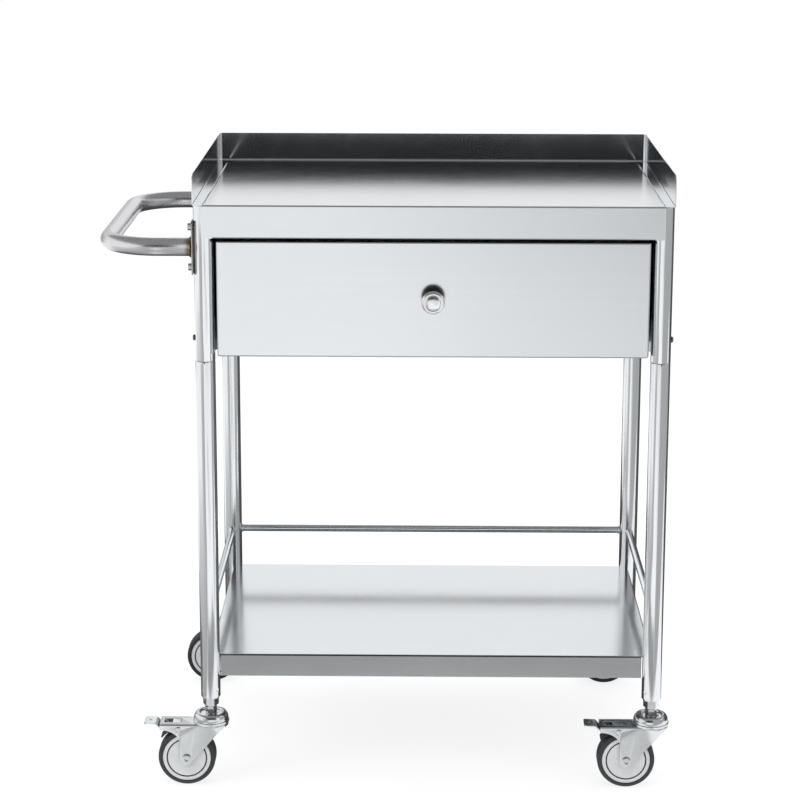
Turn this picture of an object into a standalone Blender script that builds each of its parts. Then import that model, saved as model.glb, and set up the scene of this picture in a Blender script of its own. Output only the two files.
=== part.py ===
"""Two-tier stainless steel utility cart with a drawer, a side handle and four swivel casters.

Metres, +Z up. The drawer opens towards -Y and the push handle is on the -X side.
Lengths and places below are measured from the point on the floor midway between the four
legs. At the end the whole cart moves so that the origin is under the centre of its box.
"""
import math

import bmesh
import bpy
from mathutils import Matrix, Vector

# Whole cart
CART_WIDTH = 0.600
CART_DEPTH = 0.400
SEAM = 0.0003
SHEET = 0.0010
BEND_RADIUS = 0.0018

# Legs: an upper post and a lower leg that meet over an inner sleeve
LEG_DIAMETER = 0.0254
LEG_WALL = 0.0012
LEG_BOTTOM = 0.120
LEG_JOINT = 0.570
LEG_END_CHAMFER = 0.0007
SLEEVE_WALL = 0.0015
SLEEVE_BELOW_JOINT = 0.040
SLEEVE_ABOVE_JOINT = 0.060
LEG_SCREW_ABOVE_JOINT = 0.029
LEG_SCREW_DIAMETER = 0.0040
LEG_SCREW_LENGTH = 0.0055
LEG_SCREW_HEAD_DIAMETER = 0.0078
LEG_SCREW_HEAD_HEIGHT = 0.0024
SCREW_CLEARANCE = 0.0004

# Top tray and its guard
TRAY_TOP = 0.770
APRON_HEIGHT = 0.042
APRON_RETURN = 0.010
GUARD_HEIGHT = 0.038
GUARD_CORNER_RADIUS = 0.006
GUARD_END_RADIUS = 0.005

# Lower shelf and the rails over it
SHELF_TOP = 0.177
SHELF_SKIRT = 0.0295
SKIRT_END_GAP = 0.0012
RAIL_DIAMETER = 0.0100
RAIL_ABOVE_SHELF = 0.055

# Drawer housing under the tray
HOUSING_BOTTOM = 0.580
HOUSING_JOGGLE = 0.0030
HOUSING_JOGGLE_LENGTH = 0.0060
HOUSING_LIP_LENGTH = 0.0020
HOUSING_LEG_GAP = 0.0004

# Drawer
FRONT_SIDE_GAP = 0.0036
FRONT_HEIGHT = 0.147
FRONT_DEPTH = 0.018
FRONT_TOP_GAP = 0.004
FRONT_SETBACK = 0.0010
FRONT_LIP = 0.012
BOX_LENGTH = 0.330
BOX_HEIGHT = 0.112
BOX_ABOVE_FRONT_BOTTOM = 0.012
BOX_RIM = 0.008

# Telescopic slides, each in a space of SLIDE_THICKNESS beside the drawer box
SLIDE_LENGTH = 0.300
SLIDE_THICKNESS = 0.0127
SLIDE_HEIGHT = 0.035
SLIDE_STEEL = 0.0012
SLIDE_ABOVE_BOX_BOTTOM = 0.050
SLIDE_OUTER_DEPTH = 0.0092
SLIDE_BALL_SPACE = 0.0023
SLIDE_WEB_CLEARANCE = 0.0007
SLIDE_END_CLEARANCE = 0.003

# Knob
KNOB_ABOVE_CENTRE = 0.0015
KNOB_REACH = 0.028
KNOB_RADIUS = 0.0147
KNOB_NECK_RADIUS = 0.0056
KNOB_BASE_RADIUS = 0.0082
KNOB_BASE_HEIGHT = 0.0018
KNOB_NECK_START = 0.0045
KNOB_NECK_END = 0.0085
KNOB_RIM_START = 0.0215
KNOB_RIM_END = 0.0256
KNOB_RIM_ROUND = 0.0018
KNOB_DOME_RADIUS = 0.0095
KNOB_DOME_HEIGHT = 0.0036
KNOB_BORE_DEPTH = 0.012
KNOB_SCREW_RADIUS = 0.0019
KNOB_SCREW_HEAD_RADIUS = 0.0044
KNOB_SCREW_HEAD_HEIGHT = 0.0024
KNOB_SCREW_ENGAGEMENT = 0.010

# Push handle on the -X side
HANDLE_BELOW_TRAY = 0.055
HANDLE_DIAMETER = 0.023
HANDLE_WALL = 0.0012
HANDLE_REACH = 0.125
HANDLE_BEND_RADIUS = 0.0675
WELD_LEG = 0.0022
PLATE_HEIGHT = 0.069
PLATE_WIDTH = 0.023
PLATE_THICKNESS = 0.0015
BOLT_OFFSET = 0.0255
BOLT_DIAMETER = 0.0050
BOLT_LENGTH = 0.012
BOLT_HEAD_ACROSS_FLATS = 0.0080
BOLT_HEAD_HEIGHT = 0.0040
WASHER_RADIUS = 0.0052
WASHER_THICKNESS = 0.0010

# Casters, with heights from the floor
WHEEL_DIAMETER = 0.075
WHEEL_WIDTH = 0.024
TYRE_DEPTH = 0.0060
TYRE_SHOULDER = 0.0042
DISC_RECESS = 0.0006
GROOVE_DIAMETER = 0.0515
GROOVE_WIDTH = 0.0018
GROOVE_DEPTH = 0.0008
CASTER_TRAIL = 0.0318
FORK_GAP = 0.027
FORK_STEEL = 0.002
FORK_TOP = 0.0850
FORK_BEND_RADIUS = 0.0022
FORK_BOSS_RADIUS = 0.0085
FORK_REAR_EDGE_HEIGHT = 0.022
FORK_FRONT_SLOPE_DEG = 50.5
FORK_FOLD_FROM_AXLE = 0.0127
FORK_LIP_HEIGHT = 0.004
CROWN_RADIUS = 0.0225
CROWN_FLARE_DEG = 62.0
BRAKED_FORK_LENGTH = 0.0665
BRAKED_CHEEK_HEIGHT = 0.0078
PLAIN_FORK_LENGTH = 0.0300
AXLE_RADIUS = 0.0040
AXLE_HEAD_RADIUS = 0.0056
AXLE_HEAD_HEIGHT = 0.0020
AXLE_HEAD_CHAMFER = 0.0014
AXLE_HOLLOW_RADIUS = 0.0024
AXLE_HOLLOW_DEPTH = 0.0026
RUNNING_CLEARANCE = 0.0003

# Caster stem and swivel head
BUSH_LENGTH = 0.032
BUSH_COLLAR_HEIGHT = 0.0085
BUSH_COLLAR_RADIUS = 0.0109
BUSH_NECK_RADIUS = 0.0098
STEM_THREAD_RADIUS = 0.0049
STEM_THREAD_LENGTH = 0.026
STEM_HEX_ACROSS_FLATS = 0.0150
STEM_HEX_HEIGHT = 0.0100
STEM_SHOULDER = 0.0008
STEM_NECK_RADIUS = 0.0060
RIVET_HEAD_RADIUS = 0.0090
RIVET_HEAD_HEIGHT = 0.0022
CAP_HEIGHT = 0.0132
CAP_RADIUS = 0.0235
CAP_RING_RADIUS = 0.0180
CAP_RING_WIDTH = 0.0028
CAP_WELL_DEPTH = 0.0023
CAP_STEEL = 0.0020
CAP_RIM_HEIGHT = 0.0036

# Brake on each front caster: a lever on a pin, with a shoe over the tyre
LEVER_STEEL = 0.0018
LEVER_WIDTH = 0.024
LEVER_PIN_FROM_STEM = 0.0421
LEVER_PIN_BELOW_TOP = 0.0062
LEVER_PIN_RADIUS = 0.0020
LEVER_PIN_HEAD_RADIUS = 0.0032
LEVER_PIN_HEAD_HEIGHT = 0.0012
LEVER_BARREL_WALL = 0.0013
LEVER_REACH = 0.0870
LEVER_FLAT_OVERHANG = 0.0005
LEVER_STEP_LENGTH = 0.0050
LEVER_STEP_RISE = 0.0058
LEVER_TIP_RISE = 0.0004
TONGUE_LENGTH = 0.0110
TONGUE_SIDE_CLEARANCE = 0.0006
TONGUE_BELOW_TOP = 0.0003
SHOE_GAP = 0.0042
SHOE_WIDTH = 0.018
SHOE_START_DEG = 117.0
SHOE_END_DEG = 141.0
SHOE_BACK_DEG = 13.0
SHOE_THICKNESS = 0.0020
BRAKE_SLOT_LENGTH = 0.023
BRAKE_SLOT_WIDTH = 0.014
BRAKE_SLOT_FROM_STEM = 0.0500

# Round heads: how much of the radius is flat on top
HEAD_CROWN_SHARE = 0.6

# Facets on round pieces
TUBE_SIDES = 24
HANDLE_SIDES = 18
ROD_SIDES = 12
WHEEL_SIDES = 36
HEAD_SIDES = 24
SMALL_SIDES = 8
BEND_STEPS = 8
ARC_STEPS = 4
BEND_SEGMENTS = 2
FOLD_ANGLE_DEG = 40.0
SMOOTH_ANGLE_DEG = 30.0
SHEET_SMOOTH_ANGLE_DEG = 50.0

# Sizes that follow from the ones above
LEG_RADIUS = LEG_DIAMETER / 2
LEG_X = CART_WIDTH / 2 - LEG_RADIUS
LEG_Y = CART_DEPTH / 2 - LEG_RADIUS
LEG_BORE = LEG_RADIUS - LEG_WALL
LEG_SCREW_Z = LEG_JOINT + LEG_SCREW_ABOVE_JOINT
SLEEVE_RADIUS = LEG_BORE - SEAM
APRON_FRONT_Y = -(CART_DEPTH / 2 + SEAM + SHEET)
HOUSING_X = LEG_X - LEG_RADIUS - SEAM
SLIDE_X = HOUSING_X - SHEET
BOX_X = SLIDE_X - SLIDE_THICKNESS
FRONT_FACE_Y = -CART_DEPTH / 2 + FRONT_SETBACK
FRONT_WIDTH = 2 * (LEG_X - LEG_RADIUS - FRONT_SIDE_GAP)
FRONT_TOP = TRAY_TOP - APRON_HEIGHT - FRONT_TOP_GAP
FRONT_BOTTOM = FRONT_TOP - FRONT_HEIGHT
BOX_FRONT_Y = FRONT_FACE_Y + FRONT_DEPTH + SEAM
BOX_BOTTOM = FRONT_BOTTOM + BOX_ABOVE_FRONT_BOTTOM
SLIDE_Z = BOX_BOTTOM + SLIDE_ABOVE_BOX_BOTTOM
SLIDE_FRONT_Y = BOX_FRONT_Y + SLIDE_END_CLEARANCE
KNOB_Z = (FRONT_TOP + FRONT_BOTTOM) / 2 + KNOB_ABOVE_CENTRE
HANDLE_HEIGHT = TRAY_TOP - HANDLE_BELOW_TRAY
PLATE_X = -(CART_WIDTH / 2 + SEAM)
HANDLE_X = PLATE_X - PLATE_THICKNESS - SEAM
WHEEL_RADIUS = WHEEL_DIAMETER / 2
CORE_RADIUS = WHEEL_RADIUS - TYRE_DEPTH
FORK_HALF = FORK_GAP / 2 + FORK_STEEL
CAP_BOTTOM = FORK_TOP + SEAM
CAP_TOP = CAP_BOTTOM + CAP_HEIGHT
STEM_HEX_BOTTOM = CAP_TOP - CAP_WELL_DEPTH + STEM_SHOULDER
LEVER_PIN_Z = FORK_TOP - LEVER_PIN_BELOW_TOP
BUSH_BOTTOM = STEM_HEX_BOTTOM + STEM_HEX_HEIGHT + SEAM

CORNERS = {
    "front_left": (-1, -1),
    "front_right": (1, -1),
    "rear_left": (-1, 1),
    "rear_right": (1, 1),
}
SIDES = {"left": -1, "right": 1}

# Finish: base colour, roughness, metallic
SATIN_STEEL = ((0.78, 0.79, 0.80), 0.30, 1.0)
BRUSHED_STEEL = ((0.80, 0.81, 0.82), 0.34, 1.0)
ZINC_STEEL = ((0.80, 0.81, 0.82), 0.22, 1.0)
CHROME = ((0.90, 0.90, 0.91), 0.06, 1.0)
TYRE_RUBBER = ((0.060, 0.065, 0.072), 0.62, 0.0)
SHOE_RUBBER = ((0.040, 0.042, 0.046), 0.60, 0.0)
WHEEL_PLASTIC = ((0.66, 0.68, 0.70), 0.42, 0.0)


def clear_scene():
    """Remove every object, so the cart is alone in the file."""
    for old in list(bpy.data.objects):
        bpy.data.objects.remove(old, do_unlink=True)


def make_material(name, finish):
    """Return a Principled material with the finish's colour, roughness and metallic value."""
    colour, roughness, metallic = finish
    material = bpy.data.materials.new(name)
    material.use_nodes = True
    shader = material.node_tree.nodes["Principled BSDF"]
    shader.inputs["Base Color"].default_value = (*colour, 1.0)
    shader.inputs["Roughness"].default_value = roughness
    shader.inputs["Metallic"].default_value = metallic
    material.diffuse_color = (*colour, 1.0)
    return material


def add_part(name, mesh, finish, parent, location=(0.0, 0.0, 0.0)):
    """Place a mesh as a named sub-part under its parent empty."""
    if not mesh.materials:
        mesh.materials.append(make_material(name, finish))
    part = bpy.data.objects.new(name, mesh)
    bpy.context.collection.objects.link(part)
    part.parent = parent
    part.location = location
    return part


def add_empty(name, parent, location=(0.0, 0.0, 0.0)):
    """Add an empty that carries a group of sub-parts, on their joint's axis."""
    empty = bpy.data.objects.new(name, None)
    empty.empty_display_size = 0.02
    bpy.context.collection.objects.link(empty)
    empty.parent = parent
    empty.location = location
    return empty


def to_mesh(name, shape, smooth_angle=SMOOTH_ANGLE_DEG):
    """Turn a bmesh into a mesh that is smooth shaded up to the given edge angle."""
    mesh = bpy.data.meshes.new(name)
    shape.to_mesh(mesh)
    shape.free()
    mesh.shade_smooth()
    mesh.set_sharp_from_angle(angle=math.radians(smooth_angle))
    return mesh


def move_mesh(mesh, matrix):
    """Return the mesh after moving its vertices."""
    mesh.transform(matrix)
    return mesh


def shifted(mesh, x=0.0, y=0.0, z=0.0):
    """Return a moved copy of the mesh."""
    return move_mesh(mesh.copy(), Matrix.Translation((x, y, z)))


def arc_points(centre, radius, start_deg, end_deg, steps):
    """Return the points of an arc in a plane, both ends included."""
    points = []
    for step in range(steps + 1):
        angle = math.radians(start_deg + (end_deg - start_deg) * step / steps)
        points.append((centre[0] + radius * math.cos(angle), centre[1] + radius * math.sin(angle)))
    return points


def turned(name, outline, sides, closed=True):
    """Revolve an outline of (radius, height) points about Z.

    A closed outline gives a ring. An open one has both ends on the axis.
    """
    shape = bmesh.new()
    verts = [shape.verts.new((radius, 0.0, height)) for radius, height in outline]
    followers = verts[1:] + verts[:1] if closed else verts[1:]
    edges = [shape.edges.new(pair) for pair in zip(verts, followers)]
    bmesh.ops.spin(
        shape,
        geom=verts + edges,
        cent=(0.0, 0.0, 0.0),
        axis=(0.0, 0.0, 1.0),
        dvec=(0.0, 0.0, 0.0),
        angle=2 * math.pi,
        steps=sides,
        use_merge=True,
    )
    bmesh.ops.remove_doubles(shape, verts=shape.verts, dist=1e-6)
    bmesh.ops.recalc_face_normals(shape, faces=shape.faces)
    return to_mesh(name, shape)


def rod(name, radius, bottom, top, sides):
    """Return a solid upright cylinder."""
    outline = [(0.0, bottom), (radius, bottom), (radius, top), (0.0, top)]
    return turned(name, outline, sides, closed=False)


def prism(name, outline, bottom, top):
    """Extrude an outline of (x, y) points from one height to another."""
    shape = bmesh.new()
    face = shape.faces.new([shape.verts.new((x, y, bottom)) for x, y in outline])
    grown = bmesh.ops.extrude_face_region(shape, geom=[face])
    raised = [item for item in grown["geom"] if isinstance(item, bmesh.types.BMVert)]
    bmesh.ops.translate(shape, verts=raised, vec=(0.0, 0.0, top - bottom))
    bmesh.ops.recalc_face_normals(shape, faces=shape.faces)
    return to_mesh(name, shape)


def box(name, low, high):
    """Return a box between two corners."""
    outline = [(low[0], low[1]), (high[0], low[1]), (high[0], high[1]), (low[0], high[1])]
    return prism(name, outline, low[2], high[2])


def side_prism(name, outline, y_low, y_high):
    """Extrude an outline of (x, z) points along Y."""
    mesh = prism(name, outline, -y_high, -y_low)
    return move_mesh(mesh, Matrix.Rotation(math.radians(90), 4, "X"))


def along_x(mesh):
    """Turn a mesh made along +Z so that it runs along +X."""
    return move_mesh(mesh, Matrix.Rotation(math.radians(90), 4, "Y"))


def along_minus_y(mesh):
    """Turn a mesh made along +Z so that it runs along -Y."""
    return move_mesh(mesh, Matrix.Rotation(math.radians(90), 4, "X"))


def evaluated(name, mesh, set_modifiers):
    """Return the mesh that the modifiers added by set_modifiers give."""
    holder = bpy.data.objects.new(name, mesh)
    bpy.context.collection.objects.link(holder)
    helpers = set_modifiers(holder) or []
    graph = bpy.context.evaluated_depsgraph_get()
    result = bpy.data.meshes.new_from_object(holder.evaluated_get(graph), depsgraph=graph)
    result.name = name
    for item in [holder] + helpers:
        bpy.data.objects.remove(item, do_unlink=True)
    return result


def combined(mesh, tools, operation):
    """Return the mesh after an exact boolean with each tool mesh in turn."""

    def set_modifiers(holder):
        helpers = []
        for tool in tools:
            helper = bpy.data.objects.new("tool", tool)
            bpy.context.collection.objects.link(helper)
            modifier = holder.modifiers.new("combine", "BOOLEAN")
            modifier.solver = "EXACT"
            modifier.operation = operation
            modifier.object = helper
            helpers.append(helper)
        return helpers

    result = evaluated(mesh.name, mesh, set_modifiers)
    result.shade_smooth()
    result.set_sharp_from_angle(angle=math.radians(SMOOTH_ANGLE_DEG))
    return result


def cut(mesh, tools):
    """Return the mesh with the tool meshes cut out of it."""
    return combined(mesh, tools, "DIFFERENCE")


def joined(mesh, tools):
    """Return one body from the mesh and the tool meshes."""
    return combined(mesh, tools, "UNION")


def face_outward(shape):
    """Point an open skin's faces away from the middle of the piece."""
    bmesh.ops.recalc_face_normals(shape, faces=shape.faces)
    middle = sum((vert.co for vert in shape.verts), Vector()) / len(shape.verts)
    outward = 0.0
    for face in shape.faces:
        outward += face.calc_area() * face.normal.dot(face.calc_center_median() - middle)
    if outward < 0.0:
        bmesh.ops.reverse_faces(shape, faces=shape.faces)


def folded_sheet(name, shape, thickness, bend_radius):
    """Bend the folds of an outer skin and give the sheet its thickness inwards."""
    face_outward(shape)

    def set_modifiers(holder):
        bend = holder.modifiers.new("bend", "BEVEL")
        bend.width = bend_radius
        bend.segments = BEND_SEGMENTS
        bend.limit_method = "ANGLE"
        bend.angle_limit = math.radians(FOLD_ANGLE_DEG)
        steel = holder.modifiers.new("steel", "SOLIDIFY")
        steel.thickness = thickness
        steel.offset = -1.0
        steel.use_even_offset = True

    result = evaluated(name, to_mesh(name, shape), set_modifiers)
    result.shade_smooth()
    result.set_sharp_from_angle(angle=math.radians(SHEET_SMOOTH_ANGLE_DEG))
    return result


def hang_walls(shape, edges, depth):
    """Extrude edges of a skin straight down, or up when depth is negative."""
    grown = bmesh.ops.extrude_edge_only(shape, edges=edges)["geom"]
    verts = [item for item in grown if isinstance(item, bmesh.types.BMVert)]
    bmesh.ops.translate(shape, verts=verts, vec=(0.0, 0.0, -depth))
    return [item for item in grown if isinstance(item, bmesh.types.BMEdge)]


def upper_leg_tube(bottom, top):
    """Return an upper post's tube with chamfered ends."""
    chamfer = LEG_END_CHAMFER
    outline = [
        (LEG_BORE, bottom),
        (LEG_RADIUS - chamfer, bottom),
        (LEG_RADIUS, bottom + chamfer),
        (LEG_RADIUS, top - chamfer),
        (LEG_RADIUS - chamfer, top),
        (LEG_BORE, top),
    ]
    return turned("upper_leg", outline, TUBE_SIDES)


def cross_drill(radius, height, side):
    """Return a drill along X that opens one wall of a leg tube, on the outer side."""
    drill = along_x(rod("drill", radius, 0.0, CART_WIDTH, SMALL_SIDES))
    if side < 0:
        drill = move_mesh(drill, Matrix.Rotation(math.pi, 4, "Z"))
    return shifted(drill, z=height)


def add_legs(frame):
    """Four legs, each an upper post over a lower leg, drilled for what is screwed to them."""
    post_top = TRAY_TOP - SHEET - SEAM
    for corner, (side, end) in CORNERS.items():
        drills = [cross_drill(LEG_SCREW_DIAMETER / 2 + SCREW_CLEARANCE, LEG_SCREW_Z, side)]
        if side < 0:
            for offset in (-BOLT_OFFSET, BOLT_OFFSET):
                radius = BOLT_DIAMETER / 2 + SCREW_CLEARANCE
                drills.append(cross_drill(radius, HANDLE_HEIGHT + offset, side))
        post = cut(upper_leg_tube(LEG_JOINT + SEAM / 2, post_top), drills)
        place = (side * LEG_X, end * LEG_Y, 0.0)
        add_part(f"upper_leg_{corner}", post, SATIN_STEEL, frame, place)
    lower = lower_leg_mesh()
    for corner, (side, end) in CORNERS.items():
        add_part(f"lower_leg_{corner}", lower, SATIN_STEEL, frame, (side * LEG_X, end * LEG_Y, 0.0))


def lower_leg_mesh():
    """Return a lower leg with the threaded bush that is crimped into its lower end."""
    top = LEG_JOINT - SEAM / 2
    chamfer = LEG_END_CHAMFER
    bush_bore = STEM_THREAD_RADIUS + SEAM
    outline = [
        (bush_bore, BUSH_BOTTOM),
        (BUSH_NECK_RADIUS, BUSH_BOTTOM),
        (BUSH_COLLAR_RADIUS, LEG_BOTTOM - BUSH_COLLAR_HEIGHT),
        (BUSH_COLLAR_RADIUS, LEG_BOTTOM),
        (LEG_RADIUS - chamfer, LEG_BOTTOM),
        (LEG_RADIUS, LEG_BOTTOM + chamfer),
        (LEG_RADIUS, top - chamfer),
        (LEG_RADIUS - chamfer, top),
        (LEG_BORE, top),
        (LEG_BORE, BUSH_BOTTOM + BUSH_LENGTH),
        (bush_bore, BUSH_BOTTOM + BUSH_LENGTH),
    ]
    return turned("lower_leg", outline, TUBE_SIDES)


def add_leg_joints(frame):
    """The sleeve inside each leg joint, with the screw that holds the post on it."""
    bottom = LEG_JOINT - SLEEVE_BELOW_JOINT
    top = LEG_JOINT + SLEEVE_ABOVE_JOINT
    bore = SLEEVE_RADIUS - SLEEVE_WALL
    outline = [(bore, bottom), (SLEEVE_RADIUS, bottom), (SLEEVE_RADIUS, top), (bore, top)]
    head = LEG_SCREW_HEAD_HEIGHT
    head_radius = LEG_SCREW_HEAD_DIAMETER / 2
    shank = LEG_SCREW_DIAMETER / 2
    screw_outline = [
        (0.0, -LEG_SCREW_LENGTH),
        (shank, -LEG_SCREW_LENGTH),
        (shank, SEAM),
        (head_radius, SEAM),
        (head_radius * HEAD_CROWN_SHARE, SEAM + head),
        (0.0, SEAM + head),
    ]
    for corner, (side, end) in CORNERS.items():
        screw = along_x(turned("screw", screw_outline, SMALL_SIDES, closed=False))
        screw = shifted(screw, LEG_RADIUS, 0.0, LEG_SCREW_Z)
        if side < 0:
            screw = move_mesh(screw, Matrix.Rotation(math.pi, 4, "Z"))
        sleeve = joined(turned("leg_sleeve", outline, TUBE_SIDES), [screw])
        add_part(f"leg_sleeve_{corner}", sleeve, ZINC_STEEL, frame, (side * LEG_X, end * LEG_Y, 0.0))


def add_top_tray(frame):
    """The tray's pan: aprons between the legs, and one in front over the inner half of the posts."""
    notch = LEG_RADIUS + SEAM
    shape = bmesh.new()
    front = [(x, APRON_FRONT_Y) for x in (-LEG_X, -LEG_X + notch, LEG_X - notch, LEG_X)]
    rest = [
        (LEG_X, -LEG_Y + notch),
        (LEG_X, LEG_Y - notch),
        (LEG_X, LEG_Y),
        (LEG_X - notch, LEG_Y),
        (-LEG_X + notch, LEG_Y),
        (-LEG_X, LEG_Y),
        (-LEG_X, LEG_Y - notch),
        (-LEG_X, -LEG_Y + notch),
    ]
    verts = [shape.verts.new((x, y, TRAY_TOP)) for x, y in front + rest]
    shape.faces.new(verts)
    front_edges = [shape.edges.get(pair) for pair in zip(verts[:3], verts[1:4])]
    other_edges = [shape.edges.get(pair) for pair in zip(verts[4::3], verts[5::3])]
    lower_edges = hang_walls(shape, front_edges + other_edges, APRON_HEIGHT)
    returned = [edge for edge in lower_edges if is_between_front_legs(edge)]
    back = bmesh.ops.extrude_edge_only(shape, edges=returned)["geom"]
    moved = [item for item in back if isinstance(item, bmesh.types.BMVert)]
    bmesh.ops.translate(shape, verts=moved, vec=(0.0, APRON_RETURN, 0.0))
    add_part("top_tray", folded_sheet("top_tray", shape, SHEET, BEND_RADIUS), BRUSHED_STEEL, frame)


def is_between_front_legs(edge):
    """Tell whether an edge is the front apron's lower edge between the two front legs."""
    low, high = sorted(vert.co.x for vert in edge.verts)
    in_front = max(vert.co.y for vert in edge.verts) < -LEG_Y
    level = abs(edge.verts[0].co.z - edge.verts[1].co.z) < SEAM
    clear = low > -LEG_X + LEG_RADIUS and high < LEG_X - LEG_RADIUS
    return in_front and level and clear and edge.verts[0].co.z < TRAY_TOP - SHEET


def guard_outline(outer_x, outer_y, front_y, corner_radius):
    """Return a U in plan, open at the front, from the front left to the front right."""
    points = [(-outer_x, front_y)]
    centre_x = outer_x - corner_radius
    centre_y = outer_y - corner_radius
    if corner_radius > 0.0:
        points += arc_points((-centre_x, centre_y), corner_radius, 180, 90, 3)
        points += arc_points((centre_x, centre_y), corner_radius, 90, 0, 3)
    else:
        points += [(-outer_x, outer_y), (outer_x, outer_y)]
    points.append((outer_x, front_y))
    return points


def add_top_guard(frame):
    """The guard: a strip round three sides of the pan that folds up into a low wall."""
    front_y = -CART_DEPTH / 2
    shape = bmesh.new()
    floor = TRAY_TOP - SHEET
    outer = guard_outline(CART_WIDTH / 2, CART_DEPTH / 2, front_y, GUARD_CORNER_RADIUS)
    inner = guard_outline(LEG_X + SEAM, LEG_Y + SEAM, front_y, 0.0)
    outer_verts = [shape.verts.new((x, y, floor)) for x, y in outer]
    inner_verts = [shape.verts.new((x, y, floor)) for x, y in inner]
    half = len(outer_verts) // 2
    shape.faces.new(outer_verts[:half] + [inner_verts[1], inner_verts[0]])
    shape.faces.new([outer_verts[half - 1], outer_verts[half], inner_verts[2], inner_verts[1]])
    shape.faces.new(outer_verts[half:] + [inner_verts[3], inner_verts[2]])
    wall_edges = [shape.edges.get(pair) for pair in zip(outer_verts, outer_verts[1:])]
    hang_walls(shape, wall_edges, -(GUARD_HEIGHT + SHEET))
    top = TRAY_TOP + GUARD_HEIGHT
    ends = [vert for vert in shape.verts if vert.co.z > top - SHEET and vert.co.y < front_y + SHEET]
    bmesh.ops.bevel(shape, geom=ends, offset=GUARD_END_RADIUS, segments=3, affect="VERTICES")
    add_part("top_guard", folded_sheet("top_guard", shape, SHEET, BEND_RADIUS), BRUSHED_STEEL, frame)


def add_lower_shelf(frame):
    """The shelf: a pan whose skirts lie on the leg centre planes, notched round each leg."""
    notch = LEG_RADIUS + SEAM
    skirt_start = LEG_RADIUS + SKIRT_END_GAP
    shape = bmesh.new()
    verts = []
    skirts = []
    for side, end, start_deg in ((-1, -1, 90), (1, -1, 180), (1, 1, 270), (-1, 1, 0)):
        centre = (side * LEG_X, end * LEG_Y)
        arc = arc_points(centre, notch, start_deg, start_deg - 90, ARC_STEPS)
        before = (centre[0], centre[1] - end * skirt_start)
        after = (centre[0] - side * skirt_start, centre[1])
        if side * end < 0:
            before, after = after, before
        corner = [before] + arc + [after]
        verts += [shape.verts.new((x, y, SHELF_TOP)) for x, y in corner]
        skirts.append((verts[-1], len(verts)))
    shape.faces.new(verts)
    edges = [shape.edges.get((last, verts[following % len(verts)])) for last, following in skirts]
    hang_walls(shape, edges, SHELF_SKIRT)
    mesh = folded_sheet("lower_shelf", shape, SHEET, BEND_RADIUS)
    add_part("lower_shelf", mesh, BRUSHED_STEEL, frame)


def add_rails(frame):
    """Three rails over the shelf, coped to the legs that they are welded to."""
    height = SHELF_TOP + RAIL_ABOVE_SHELF
    radius = RAIL_DIAMETER / 2
    cope = rod("cope", LEG_RADIUS + SEAM, height - LEG_DIAMETER, height + LEG_DIAMETER, TUBE_SIDES)
    long_rail = along_x(rod("rail_rear", radius, -LEG_X, LEG_X, ROD_SIDES))
    long_rail = shifted(long_rail, 0.0, LEG_Y, height)
    long_rail = cut(long_rail, [shifted(cope, -LEG_X, LEG_Y), shifted(cope, LEG_X, LEG_Y)])
    add_part("rail_rear", long_rail, SATIN_STEEL, frame)
    for name, side in SIDES.items():
        rail = along_minus_y(rod(f"rail_{name}", radius, -LEG_Y, LEG_Y, ROD_SIDES))
        rail = shifted(rail, side * LEG_X, 0.0, height)
        tools = [shifted(cope, side * LEG_X, -LEG_Y), shifted(cope, side * LEG_X, LEG_Y)]
        add_part(f"rail_{name}", cut(rail, tools), SATIN_STEEL, frame)


def housing_outline(side, rear_y):
    """Return a side panel in plan, its front end stepped outwards to close on the leg."""
    lip_x = HOUSING_X + HOUSING_JOGGLE
    reach = (LEG_RADIUS + HOUSING_LEG_GAP) ** 2 - (LEG_X - lip_x) ** 2
    front_y = -LEG_Y + math.sqrt(reach)
    lip_y = front_y + HOUSING_LIP_LENGTH
    step_y = lip_y + HOUSING_JOGGLE_LENGTH
    outline = [
        (HOUSING_X, rear_y),
        (HOUSING_X, step_y),
        (lip_x, lip_y),
        (lip_x, front_y),
        (lip_x - SHEET, front_y),
        (lip_x - SHEET, lip_y),
        (HOUSING_X - SHEET, step_y),
        (HOUSING_X - SHEET, rear_y),
    ]
    return [(side * x, y) for x, y in outline]


def add_housing(frame):
    """The drawer's housing: a panel against the legs on each side and one at the back."""
    top = TRAY_TOP - SHEET - SEAM
    rear_y = LEG_Y - SHEET - SEAM
    for name, side in SIDES.items():
        panel = prism(f"housing_side_{name}", housing_outline(side, rear_y), HOUSING_BOTTOM, top)
        add_part(f"housing_side_{name}", panel, BRUSHED_STEEL, frame)
    half = HOUSING_X - SHEET - SEAM
    back = box("housing_back", (-half, rear_y - SHEET, HOUSING_BOTTOM), (half, rear_y, top))
    add_part("housing_back", back, BRUSHED_STEEL, frame)


def channel_outline(web_start, web_end, flange_end, half_height):
    """Return a C section as (depth, height) points, its flanges going from the web to flange_end."""
    inner = half_height - SLIDE_STEEL
    return [
        (web_start, -half_height),
        (flange_end, -half_height),
        (flange_end, -inner),
        (web_end, -inner),
        (web_end, inner),
        (flange_end, inner),
        (flange_end, half_height),
        (web_start, half_height),
    ]


def slide_member(name, section, side):
    """Extrude a slide section along Y, on the housing panel of the given side."""
    outline = [(side * (SLIDE_X - depth), SLIDE_Z + height) for depth, height in section]
    return side_prism(name, outline, SLIDE_FRONT_Y, SLIDE_FRONT_Y + SLIDE_LENGTH)


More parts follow.
